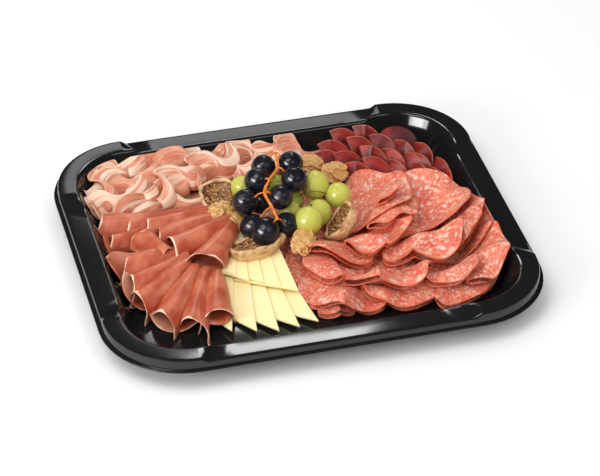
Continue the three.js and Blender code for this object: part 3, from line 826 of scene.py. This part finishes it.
def model_tray(tray):
    """The shell: a tube of grid faces laid on the outline and profile, its two floors closed."""
    corner = tray.corner / MM
    profile = tray_profile(tray)
    rings = []
    for inset, height, rise, back in profile:
        outline = tray_outline(inset, corner)
        pulled = tray_outline(inset - back, corner) if back else outline
        raised = outline[:, 2]
        plan = outline[:, :2] * (1 - raised)[:, None] + pulled[:, :2] * raised[:, None]
        rings.append(np.column_stack([plan, height + rise * raised]))
    around, along = len(rings[0]), len(profile) - 1
    piece = start(
        "tray_shell", bpy.ops.mesh.primitive_grid_add, x_subdivisions=around, y_subdivisions=along, size=2
    )
    column, row = np.rint((points_of(piece)[:, :2] + 1) / 2 * (around, along)).astype(int).T
    move_points(piece, np.array(rings)[row, column % around] * MM)
    close_mesh(piece)
    bpy.ops.object.mode_set(mode="EDIT")
    bpy.ops.mesh.select_all(action="DESELECT")
    bpy.ops.mesh.select_mode(type="EDGE")
    bpy.ops.mesh.select_non_manifold()
    bpy.ops.mesh.fill_holes(sides=0)
    bpy.ops.object.mode_set(mode="OBJECT")
    close_mesh(piece)
    modify(piece, "BEVEL", width=0.1 * MM, segments=1, limit_method="ANGLE", angle_limit=math.radians(60))
    smooth(piece)
    smooth(piece, 40)
    return piece


# ---- Layouts, in millimetres in the frame ------------------------------------------------

FLAT, FOLDED = "disc", "half_moon"

# Salami from the bottom of the pile up: number of the node or 0, sheet, place, heading, radius or 0
# for the usual one, ripple, waves, phase, and what else shapes a fold.
SALAMI = [
    (0, FLAT, -6, 30, 0, 0, 1, 3, 0),
    (0, FLAT, 20, 48, 50, 25, 1, 3, 0),
    (0, FLAT, 52, -52, -80, 0, 2, 3, 0),
    (0, FLAT, 18, -30, 10, 34, 1, 3, 0),
    (0, FLAT, 14, -62, 40, 27, 2, 3, 0),
    (0, FLAT, 60, 8, 20, 0, 2, 3, 0),
    (0, FLAT, 104, 10, 20, 0, 2, 3, 0),
    (0, FLAT, 116, -60, -40, 0, 3, 2, 0),
    (0, FOLDED, 11, -88, -98, 17, 10, 1.5, 1),
    (12, FOLDED, 24, -75, -100, 35, 13, 1.7, 2.2),
    (0, FOLDED, 66, -76, -92, 36, 5, 1.2, 0.4),
    (10, FOLDED, 110, -82, -56, 34, 6, 1.4, 2),
    (0, FOLDED, 126, -66, -28, 37, 8, 2.1, 1),
    (0, FLAT, 125, -22, -30, 38, 6, 3, 0.6),
    (9, FOLDED, 120, -14, -14, 37, 7, 1.7, 1),
    (8, FLAT, 100, 20, 30, 31, 4, 2, 1),
    (11, FOLDED, 106, -72, -84, 37, 12, 1.1, 1.3, {"squeeze": 0.68}),
    (0, FOLDED, 60, -61, -94, 40, 14, 2.0, 3.3, {"lean": 8}),
    (7, FOLDED, 24, -40, 188, 30, 5, 1.0, 1, {"opening": 8}),
    (0, FOLDED, 34, -16, -120, 34, 8, 1.3, 2),
    (5, FOLDED, 116, -26, -74, 38, 12, 1.6, 0.9, {"squeeze": 0.8}),
    (6, FOLDED, 98, -34, -104, 36, 14, 1.7, 2.6, {"lean": 8}),
    (4, FLAT, 110, 6, -20, 40, 7, 2, 2.4),
    (3, FOLDED, 56, -10, -62, 40, 16, 2.1, 2.8, {"lean": 8, "squeeze": 0.8}),
    (2, FOLDED, 76, 12, -50, 36, 12, 1.5, 0.6, {"squeeze": 0.85}),
    (1, FLAT, 70, 29, 60, 37, 5, 2, 3.6),
    (0, FOLDED, 78, 22, -30, 20, 8, 1.2, 1.0),
]

# Slices of ham that lie flat below the two fans: place and radius.
HAM_BED = [((-128, 22), 25), ((-131, -8), 26), ((-126, -36), 24), ((-112, -62), 23)]

# Where two arches curl under at the mouth: place and radius of the lobe.
HAM_LOBES = [((-74, -15, 11.5), 12.5), ((-85, -79, 8), 12)]

# Ham, lowest first: number of the node or 0, tail and mouth of the arch's middle line, radius of the
# mouth, and how far one side of the slice leads the other.
HAM = [
    (11, (-72, -30, 12), (-88, -86, 7), 13, -8),
    (10, (-80, -26, 13), (-108, -92, 6), 12, 10),
    (9, (-86, -20, 14), (-124, -78, 6), 12, 12),
    (8, (-92, -14, 15), (-138, -56, 7), 12.5, 12),
    (0, (-90, -6, 15), (-142, -32, 8), 11, 14),
    (7, (-92, -2, 17), (-140, -6, 11), 14, 14),
    (0, (-100, 40, 12), (-146, 32, 8), 9, 10),
    (6, (-106, -8, 21), (-122, 22, 17), 9, 6),
    (5, (-92, 50, 12), (-148, 52, 9), 12, 9),
    (0, (-60, 52, 15), (-128, 46, 9), 11, 9),
    (4, (-52, 46, 17), (-116, 38, 11), 12, 11),
    (3, (-48, 38, 18), (-107, 23, 12), 12, 12),
    (2, (-46, 28, 20), (-100, -2, 14), 13, 12),
    (1, (-48, 18, 21), (-78, -24, 13), 15, -11),
]

# Slices of coppa that lie flat below the rumpled ones: place and radius.
COPPA_BED = [((-64, 72), 24), ((-20, 92), 26), ((-104, 92), 30), ((-130, 76), 22)]

# Coppa from the back forwards: number of the node or 0, the ribbon's middle, heading, length,
# height, phase, and what else shapes it.
COPPA = [
    (7, (26, 108, 4), 190, 56, 24, 1.0),
    (6, (-8, 114, 6), 182, 64, 28, 2.5),
    (5, (-40, 116, 6), 190, 60, 30, 4.0),
    (0, (2, 98, 8), 196, 60, 28, 0.2),
    (0, (-34, 100, 9), 204, 64, 30, 3.4),
    (3, (-92, 120, 5), 186, 88, 32, 0.6, {"waves": 1.3}),
    (4, (-118, 110, 6), 206, 70, 30, 2.2),
    (0, (-72, 106, 9), 194, 84, 30, 1.4),
    (0, (-124, 98, 6), 236, 56, 28, 0.4, {"waves": 1.2}),
    (0, (-96, 98, 8), 200, 78, 28, 5.0),
    (1, (-66, 90, 9), 214, 66, 32, 3.0, {"waves": 1.8, "sway": 9}),
    (0, (-88, 84, 7), 196, 60, 22, 1.0, {"waves": 2.2, "sway": 6}),
    (2, (-116, 82, 5), 206, 74, 26, 4.4, {"waves": 1.0, "roll": 80}),
    (0, (-92, 70, 5), 184, 66, 16, 1.0, {"sway": 3}),
    (0, (-112, 74, 6), 212, 60, 15, 2.0, {"waves": 0.8, "sway": 3, "roll": 60}),
]

# Air-dried beef from the back forwards and to the right: row and number of the node or None, the
# top of the petal's arc, heading.
BEEF = [
    ("back_1", (73, 121, 26), 84), ("back_2", (93, 117, 28), 74),
    ("back_4", (137, 79, 27), 42), ("back_5", (148, 56, 23), 26),
    ("back_6", (150, 36, 23), 8),
    (None, (59, 108, 25), 92), (None, (82, 105, 27), 80), ("back_3", (104, 101, 28), 66),
    (None, (122, 88, 26), 50), (None, (134, 66, 23), 36),
    ("front_1", (50, 97, 24), 96), (None, (69, 91, 24), 84), ("front_2", (90, 89, 26), 72),
    (None, (109, 80, 26), 58), ("front_3", (124, 72, 24), 46), (None, (131, 55, 21), 30),
    (None, (72, 79, 20), 84), (None, (92, 77, 23), 70), (None, (107, 70, 22), 56), (None, (142, 42, 21), 18),
]
BEEF_PITCH, BEEF_ROLL, BEEF_TURN = 32, 22, -20
BEEF_ROUND = {"at": (116, 99, 16), "heading": 66, "pitch": 34, "roll": -4}

# Cheese, back row first: the slices' tips, their height, the first one's heading, the turn from each
# to the next, pitch, and the angle at the tip.
CHEESE = {
    "back": ([(-57, -37), (-49, -46), (-38, -51), (-26, -59), (-14, -68)], 10.6, -103, 3.6, -2, 53),
    "front": ([(-76, -98), (-57, -103), (-40, -107), (-23, -106), (-7, -103)], 5.0, -105, 5.6, 0, 42),
}
CHEESE_ROLL = 7.6

# Grapes: the middle and radius of each berry, the dimple at its stalk, the stalk's points and
# radius, and the names and colours of its wood.
BUNCHES = {
    "black": (
        [
            (-9.6, 62.8, 42, 10.2), (-19.6, 42.7, 44, 10.8), (11.9, 57, 45, 10.6), (9.4, 34.9, 45, 10.8),
            (-6.3, 19.3, 41, 10), (-34.2, 26.8, 36, 10.6), (-32, 11, 22, 10.4), (-25.1, -5.2, 27, 12),
            (-5, 5, 23, 10.4), (-18.9, 36, 26, 9),
        ],
        0.10, [(1, 66, 53), (-2, 46, 52), (-13, 30, 52), (-20, 18, 49), (-18, 4, 45), (-16, -8, 40)], 1.25,
        ("orange_stalk", (0.60, 0.12, 0.006), (0.85, 0.26, 0.02)),
    ),
    "green": (
        [
            (-28.8, 58.2, 28, 9.5), (-0.3, 56, 25, 10), (28.2, 41.1, 32, 11.8), (45.8, 31.4, 25, 10.8),
            (12.5, 2.1, 26, 11.6), (25.5, 19, 20, 11), (10, 40, 20, 9), (3, 22, 23, 9),
        ],
        0.08, [(27, 47, 44), (21, 38, 41), (19, 28, 36), (15, 16, 34)], 0.8,
        ("brown_stalk", (0.13, 0.06, 0.02), (0.33, 0.20, 0.07)),
    ),
}

# Figs: place and half length. Walnuts: place, heading and half length.
FIGS = [
    ({"at": (-46.5, 58, 23), "heading": -14, "pitch": -8, "roll": 26}, 21),
    ({"at": (-37, -10, 20), "heading": 6, "pitch": 4, "roll": -16}, 24),
    ({"at": (39, 4, 19), "heading": 60, "pitch": 10, "roll": -46}, 20),
]
WALNUTS = [
    ((-51.7, 38.8, 20), 25, 12), ((-43.7, 25.5, 17), -40, 12), ((4, -14, 18), 65, 15),
    ((51.8, 66.9, 22), 10, 12), ((36.7, 82, 22), -30, 11),
]


# ---- Fruit, nuts and cheese --------------------------------------------------------------


def model_cheese(name, at, heading, pitch, corner, pieces):
    """A triangular slice whose sharp front corner is at its place."""
    thickness = pieces.cheese_thickness / MM
    piece = start(name, bpy.ops.mesh.primitive_cylinder_add, vertices=3, radius=1, depth=thickness)
    points = points_of(piece)
    angle = math.radians(corner)
    base, length = pieces.cheese_base / MM, pieces.cheese_length / MM
    corners = np.array([(0, 0), (-length, 0), (-base * math.cos(angle), -base * math.sin(angle))])
    order = np.argsort(np.argsort(np.arctan2(points[:, 0], points[:, 1]).round(3)))
    points[:, :2] = corners[order // 2]
    points[:, 2] += thickness / 2
    move_points(piece, turned(points, at, heading, pitch, CHEESE_ROLL) * MM)
    close_mesh(piece)
    modify(piece, "BEVEL", width=0.5 * MM, segments=3, limit_method="NONE")
    smooth(piece, 50)
    return piece


def model_berries(name, berries, detail, dimple):
    """Grapes: one modelled ball, copied and placed for each berry, and joined."""
    made = []
    for number, (x, y, z, radius) in enumerate(berries):
        berry = start(
            f"{name}_{number}", bpy.ops.mesh.primitive_uv_sphere_add,
            segments=detail, ring_count=detail * 2 // 3, radius=radius,
        )
        points = points_of(berry)
        top = np.maximum(points[:, 2] / radius, 0)
        points[:, 2] *= 1.05
        points[:, 2] -= dimple * radius * np.clip((top - 0.93) / 0.07, 0, 1) ** 2
        tilt = {"heading": 137 * number, "pitch": 20 + 25 * math.sin(2.1 * number), "roll": 15}
        move_points(berry, turned(points, (x, y, z), **tilt) * MM)
        smooth(berry)
        made.append(berry)
    return join(name, made)


KNOB_HEIGHT = 0.4 * MM


def model_stalk(name, stalk, berries, radius):
    """A stalk with a short twig to each berry, fused and roughened."""
    piece = start(name, bpy.ops.curve.primitive_bezier_curve_add)
    curve = piece.data
    curve.splines.clear()
    curve.bevel_depth = radius * MM
    curve.bevel_resolution = 3
    curve.resolution_u = 6
    curve.use_fill_caps = True
    middle = np.array(stalk, dtype=float)
    lines = [(middle, 1.0)]
    for *centre, berry_radius in berries:
        joint = middle[np.argmin(np.linalg.norm(middle - centre, axis=1))]
        skin = centre + (joint - centre) * berry_radius * 0.9 / np.linalg.norm(joint - centre)
        bow = (joint + skin) / 2 + np.array((0, 0, 1.5))
        lines.append((np.array([joint, bow, skin]), 0.6))
    for points, share in lines:
        spline = curve.splines.new("BEZIER")
        spline.bezier_points.add(len(points) - 1)
        for knot, point in zip(spline.bezier_points, points):
            knot.co = Vector(point * MM)
            knot.handle_left_type = knot.handle_right_type = "AUTO"
            knot.radius = share
    pick(piece)
    bpy.ops.object.convert(target="MESH")
    piece = name_piece(name)
    modify(piece, "REMESH", mode="VOXEL", voxel_size=0.5 * MM)
    points = points_of(piece)
    knobs = np.array([noise.noise(Vector(point) * 400) for point in points])
    normals = np.array([vertex.normal for vertex in piece.data.vertices])
    move_points(piece, points + normals * knobs[:, None] * KNOB_HEIGHT)
    smooth(piece)
    return piece


def wrinkle(points, scale, strength, seed, octaves):
    """Pushes unit-ball points in and out by ridged noise."""
    shift = Vector((seed * 3.1, seed * 1.7, seed))
    values = np.array([
        noise.ridged_multi_fractal(Vector(point) * scale + shift, 0.9, 2.0, octaves, 1.0, 2.0)
        for point in points
    ])
    return points * (1 + strength * (values - values.mean()))[:, None]


FIG_WIDE, FIG_DEEP, FIG_DIP, FIG_LIP = 15, 13, 0.30, 0.12
FIG_CUT, SEED_REACH = 0.90, 0.76  # how far out the cut face and its seeds go, as shares


def model_fig(name, place, long, number):
    """A halved dried fig: a wrinkled boat below a sunken cut face."""
    piece = start(name, bpy.ops.mesh.primitive_uv_sphere_add, segments=72, ring_count=48, radius=1)
    points = points_of(piece)
    x, y, z = points.T
    rough = wrinkle(wrinkle(points, 2.2, 0.05, number, 2), 5.0, 0.02, number + 3, 3)
    sunk = 1 - np.hypot(x, y) / FIG_CUT
    dip = -FIG_DIP * np.clip(sunk / 0.45, 0, 1) ** 0.6 + 0.06 * np.sin(7 * x + number)
    outside = np.minimum(rough[:, 2], FIG_LIP + 0.05 * np.sin(9 * x))
    height = np.where((z > 0) & (sunk > 0), FIG_LIP + dip, outside)
    folds = 1 + 0.05 * np.sin(5 * np.arctan2(y, x) + number)
    shaped = np.column_stack([
        rough[:, 0] * long * folds * (1 + 0.12 * x), rough[:, 1] * FIG_WIDE * folds, height * FIG_DEEP,
    ])
    move_points(piece, turned(shaped, **place) * MM)
    mark_points(piece, "flesh", np.where(z > 0, np.clip(sunk / 0.12, 0, 1), 0))
    smooth(piece)
    return piece


def model_fig_seeds(name, place, long, number):
    """The seeds in the sunken flesh of a cut fig."""
    draw = np.random.default_rng(40 + number)
    seeds = []
    for i in range(95):
        angle, reach = draw.uniform(0, TURN), math.sqrt(draw.uniform(0, 1)) * SEED_REACH
        x, y = reach * math.cos(angle), reach * math.sin(angle)
        sunk = min((1 - reach / FIG_CUT) / 0.45, 1) ** 0.6
        z = FIG_LIP - FIG_DIP * sunk + 0.06 * math.sin(7 * x + number)
        centre = np.array((x * long * (1 + 0.12 * x), y * FIG_WIDE, z * FIG_DEEP + 0.3))
        seed = start(
            f"{name}_{i}", bpy.ops.mesh.primitive_uv_sphere_add, segments=8, ring_count=6, radius=0.75
        )
        points = points_of(seed) * (1.25, 0.9, 0.8)
        points = turned(points, (0, 0, 0), draw.uniform(0, 360), draw.uniform(-30, 30)) + centre
        move_points(seed, turned(points, **place) * MM)
        smooth(seed)
        seeds.append(seed)
    return join(name, seeds)


def model_walnut(name, at, heading, long, number):
    """A piece of walnut kernel: a lumpy half, deeply furrowed."""
    piece = start(name, bpy.ops.mesh.primitive_ico_sphere_add, subdivisions=6, radius=1)
    points = wrinkle(points_of(piece), 1.5, 0.30, number + 5, 1)
    points = wrinkle(points, 3.0, 0.10, number + 11, 1)
    low = points[:, 2] + 0.35  # below this the kernel flattens
    points[:, 2] = np.where(low < 0, -0.35 + 0.4 * low, points[:, 2])
    move_points(piece, turned(points * (long, 9.5, 8.5), at, heading) * MM)
    smooth(piece)
    return piece


# ---- Operators ---------------------------------------------------------------------------


class PLATTER_OT_tray(Operator):
    """Model the moulded tray"""

    bl_idname = "platter.tray"
    bl_label = "Tray"

    def execute(self, context):
        tray = context.scene.platter_tray
        dress(model_tray(tray), tray_material(tray), "tray_plastic", "tray")
        return {"FINISHED"}


class PLATTER_OT_beef(Operator):
    """Stand the folded beef petals in rows at the back right, before one round slice"""

    bl_idname = "platter.beef"
    bl_label = "Air-Dried Beef"

    def execute(self, context):
        meats = context.scene.platter_meats
        finish = beef_material(meats), "air_dried_beef"
        radius, thickness = meats.beef_radius / MM, meats.beef_thickness / MM
        rise = math.radians(BEEF_PITCH)
        reach = radius * math.cos(rise)
        for number, (node, (x, y, z), heading) in enumerate(BEEF):
            lean = math.radians(heading)
            place = {
                "at": (x - reach * math.cos(lean), y - reach * math.sin(lean), z - radius * math.sin(rise)),
                "heading": heading + BEEF_TURN + 8 * math.sin(3.1 * number),
                "pitch": BEEF_PITCH + 4 * math.sin(1.7 * number),
                "roll": BEEF_ROLL + 7 * math.sin(2.3 * number),
            }
            lay_slice(
                f"beef_petal_{number + 1}", "petal", place, thickness, number, finish,
                node and f"bresaola_{node}", radius=radius, flap=4 + 2 * math.sin(1.7 * number),
            )
        lay_slice(
            "beef_round", FLAT, BEEF_ROUND, thickness, len(BEEF), finish,
            radius=18.5, ripple=2, waves=2, phase=0,
        )
        return {"FINISHED"}


class PLATTER_OT_salami(Operator):
    """Lay each slice of salami on what is already in the tray, from the bottom of the pile up"""

    bl_idname = "platter.salami"
    bl_label = "Salami"

    def execute(self, context):
        meats = context.scene.platter_meats
        finish = salami_material(meats), "salami"
        for number, (node, kind, x, y, heading, radius, ripple, waves, phase, *more) in enumerate(SALAMI):
            lay_slice(
                f"salami_slice_{number + 1}", kind, {"at": (x, y, LOOSE), "heading": heading},
                meats.salami_thickness / MM, number, finish, node and f"salami_{node}", resting=True,
                radius=radius or meats.salami_radius / MM, ripple=ripple, waves=waves, phase=phase,
                **(more[0] if more else {}),
            )
        return {"FINISHED"}


class PLATTER_OT_coppa(Operator):
    """Rumple the marbled slices along the back left"""

    bl_idname = "platter.coppa"
    bl_label = "Marbled Neck Ham"

    def execute(self, context):
        meats = context.scene.platter_meats
        finish, thickness = (coppa_material(meats), "marbled_neck_ham"), meats.coppa_thickness / MM
        lay_bed("coppa_bed", COPPA_BED, thickness, len(COPPA), finish)
        for number, (node, middle, heading, length, height, phase, *more) in enumerate(COPPA):
            place = {"at": middle, "heading": heading + 180, "roll": 8 * math.sin(1.9 * number)}
            lay_slice(
                f"coppa_slice_{number + 1}", "ribbon", place, thickness, number, finish,
                node and f"coppa_{node}", reach=30, length=length, height=height, phase=phase,
                **(more[0] if more else {}),
            )
        return {"FINISHED"}


class PLATTER_OT_ham(Operator):
    """Fold the cured ham into two fans of open arches, each from its tail to its mouth"""

    bl_idname = "platter.ham"
    bl_label = "Cured Ham"

    def execute(self, context):
        meats = context.scene.platter_meats
        finish, thickness = (ham_material(meats), "cured_ham"), meats.ham_thickness / MM
        lay_bed("ham_bed", HAM_BED, thickness, len(HAM), finish)
        for number, (node, tail, mouth, wide, lead) in enumerate(HAM):
            run = Vector(mouth) - Vector(tail)
            heading = math.degrees(math.atan2(run.y, run.x))
            pitch = math.degrees(math.asin(run.z / run.length))
            lay_slice(
                f"ham_arch_{number + 1}", "arch", {"at": tail, "heading": heading, "pitch": pitch},
                thickness, number, finish, node and f"ham_slice_{node}", reach=32,
                length=run.length, mouth=wide, lead=lead,
                twist=0.22 * math.sin(2.1 * number), bend=4 * math.sin(1.3 * number + 1),
            )
        for number, (at, radius) in enumerate(HAM_LOBES):
            lay_slice(
                f"ham_lobe_{number + 1}", FLAT, {"at": at, "heading": 200}, thickness, number, finish,
                reach=32, radius=radius, ripple=1.2, waves=2, phase=number,
            )
        return {"FINISHED"}


class PLATTER_OT_cheese(Operator):
    """Lay the two rows of cheese slices"""

    bl_idname = "platter.cheese"
    bl_label = "Cheese"

    def execute(self, context):
        pieces = context.scene.platter_pieces
        material = cheese_material(pieces)
        for row, (tips, lift, first, turn, pitch, corner) in CHEESE.items():
            for i, tip in enumerate(tips):
                name = f"cheese_slice_{row}_{i + 1}"
                piece = model_cheese(name, (*tip, lift), first + turn * i, pitch, corner, pieces)
                dress(piece, material, "sliced_cheese", f"cheese_{row}_{i + 1}")
        return {"FINISHED"}


class PLATTER_OT_grapes(Operator):
    """Pile up the two bunches of grapes on their stalks"""

    bl_idname = "platter.grapes"
    bl_label = "Grapes"

    def execute(self, context):
        pieces = context.scene.platter_pieces
        skins = {"black": black_grape_material(pieces), "green": green_grape_material(pieces)}
        for colour, (berries, dimple, stalk, radius, woody) in BUNCHES.items():
            grapes = model_berries(f"{colour}_grapes", berries, pieces.berry_detail, dimple)
            dress(grapes, skins[colour], f"{colour}_grape", f"{colour}_grape_bunch")
            stem = model_stalk(f"{colour}_grape_stalk", stalk, berries, radius)
            dress(stem, stalk_material(*woody), f"{colour}_grape")
        return {"FINISHED"}


class PLATTER_OT_figs(Operator):
    """Set the halved dried figs with their seeds"""

    bl_idname = "platter.figs"
    bl_label = "Dried Figs"

    def execute(self, context):
        skin, seeds = fig_material(context.scene.platter_pieces), seed_material()
        for i, (place, long) in enumerate(FIGS):
            dress(model_fig(f"fig_{i + 1}", place, long, i), skin, "dried_fig", f"fig_half_{i + 1}")
            dress(model_fig_seeds(f"fig_seeds_{i + 1}", place, long, i), seeds, "dried_fig")
        return {"FINISHED"}


class PLATTER_OT_walnuts(Operator):
    """Tuck in the walnut kernels"""

    bl_idname = "platter.walnuts"
    bl_label = "Walnuts"

    def execute(self, context):
        material = walnut_material(context.scene.platter_pieces)
        for i, nut in enumerate(WALNUTS):
            piece = model_walnut(f"walnut_piece_{i + 1}", *nut, i)
            dress(piece, material, "walnut_kernel", f"walnut_{i + 1}")
        return {"FINISHED"}


# ---- Stage -------------------------------------------------------------------------------

AZIMUTH, ELEVATION, ROLL = (math.radians(angle) for angle in (-15.27, 36.57, 0.487))
DISTANCE, SLIDE_RIGHT, SLIDE_UP, AIM_HEIGHT = 2.2866, 4.81 * MM, -3.65 * MM, 17 * MM
LENS = 168.8  # mm
SURROUND = 0.78  # strength of the white surround

# Soft boxes: name, place, the point each faces, width and height in metres, and radiance.
LIGHTS = (
    ("key_box", (-0.70, -0.35, 1.60), (0, 0, 0), 0.95, 0.95, 3.9),
    ("fill_box", (0.55, -1.30, 1.50), (0, 0, 0), 0.60, 0.50, 2.5),
    ("window_low_left", (-1.22, -0.72, 0.58), (0, 0, 0), 0.70, 0.42, 9.0),
    ("wall_card", (-1.05, -0.52, 0.64), (0.14, 0.12, 0.02), 0.95, 0.36, 14.0),
    ("rim_card", (0.145, 0.60, 0.605), (-0.06, -0.14, 0.02), 0.20, 0.10, 11.0),
    ("back_board", (0.08, 0.62, 0.38), (0, 0.15, 0.02), 0.30, 0.10, 2.4),
)


def add_light(name, place, faces, width, height, radiance):
    """A soft box at its place, facing a point."""
    away = Vector(place) - Vector(faces)
    bpy.ops.object.light_add(type="AREA", location=place)
    light = bpy.context.active_object
    light.name = name
    light.rotation_euler = away.to_track_quat("Z", "Y").to_euler()
    light.data.shape = "RECTANGLE"
    light.data.size = width
    light.data.size_y = height
    light.data.energy = radiance * math.pi * width * height
    light.visible_diffuse = not name.endswith("card")


def add_camera():
    """The camera looks down at the tray from the front left."""
    level = Vector((math.cos(AZIMUTH), math.sin(AZIMUTH), 0))
    back = Vector((
        math.sin(AZIMUTH) * math.cos(ELEVATION), -math.cos(AZIMUTH) * math.cos(ELEVATION),
        math.sin(ELEVATION),
    ))
    above = back.cross(level)
    right = level * math.cos(ROLL) + above * math.sin(ROLL)
    up = above * math.cos(ROLL) - level * math.sin(ROLL)
    place = back * DISTANCE + right * SLIDE_RIGHT + up * SLIDE_UP
    place.z += AIM_HEIGHT
    bpy.ops.object.camera_add(location=place)
    camera = bpy.context.active_object
    camera.rotation_euler = Matrix((right, up, back)).transposed().to_euler()
    camera.data.lens = LENS
    camera.data.sensor_width = 36
    camera.data.clip_end = 50
    return camera


class PLATTER_OT_stage(Operator):
    """Set the pale floor, the soft boxes, a white surround and the camera"""

    bl_idname = "platter.stage"
    bl_label = "Stage"

    def execute(self, context):
        floor = start("floor", bpy.ops.mesh.primitive_plane_add, size=12, location=(0, 0, -0.2 * MM))
        white = Nodes("studio_floor").finish(Base_Color=(0.9, 0.9, 0.9), Roughness=0.7)
        floor.data.materials.append(white)
        world = bpy.data.worlds.new("studio")
        context.scene.world = world
        world.use_nodes = True
        background = world.node_tree.nodes["Background"]
        background.inputs["Color"].default_value = (1, 1, 1, 1)
        background.inputs["Strength"].default_value = SURROUND
        world.cycles_visibility.glossy = False
        context.scene.view_settings.view_transform = "Standard"
        for light in LIGHTS:
            add_light(*light)
        context.scene.camera = add_camera()
        return {"FINISHED"}


OPERATORS = (
    PLATTER_OT_stage, PLATTER_OT_tray, PLATTER_OT_beef, PLATTER_OT_salami, PLATTER_OT_coppa,
    PLATTER_OT_ham, PLATTER_OT_cheese, PLATTER_OT_grapes, PLATTER_OT_figs, PLATTER_OT_walnuts,
)


class PLATTER_PT_panel(Panel):
    """Buttons for every piece of the platter"""

    bl_idname = "PLATTER_PT_panel"
    bl_label = "Charcuterie Platter"
    bl_space_type = "VIEW_3D"
    bl_region_type = "UI"
    bl_category = "Platter"

    def draw(self, context):
        for operator in OPERATORS:
            self.layout.operator(operator.bl_idname)


SETTINGS = {
    "platter_tray": PLATTER_PG_tray, "platter_meats": PLATTER_PG_meats, "platter_pieces": PLATTER_PG_pieces,
}


def register():
    """Register the settings, operators and panel."""
    for group in (*SETTINGS.values(), *OPERATORS, PLATTER_PT_panel):
        bpy.utils.register_class(group)
    for name, group in SETTINGS.items():
        setattr(bpy.types.Scene, name, PointerProperty(type=group))


def unregister():
    """Remove what register added."""
    for name in SETTINGS:
        delattr(bpy.types.Scene, name)
    for group in reversed((*SETTINGS.values(), *OPERATORS, PLATTER_PT_panel)):
        bpy.utils.unregister_class(group)


def main():
    """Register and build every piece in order."""
    register()
    for operator in OPERATORS:
        group, action = operator.bl_idname.split(".")
        getattr(getattr(bpy.ops, group), action)()


if __name__ == "__main__":
    main()
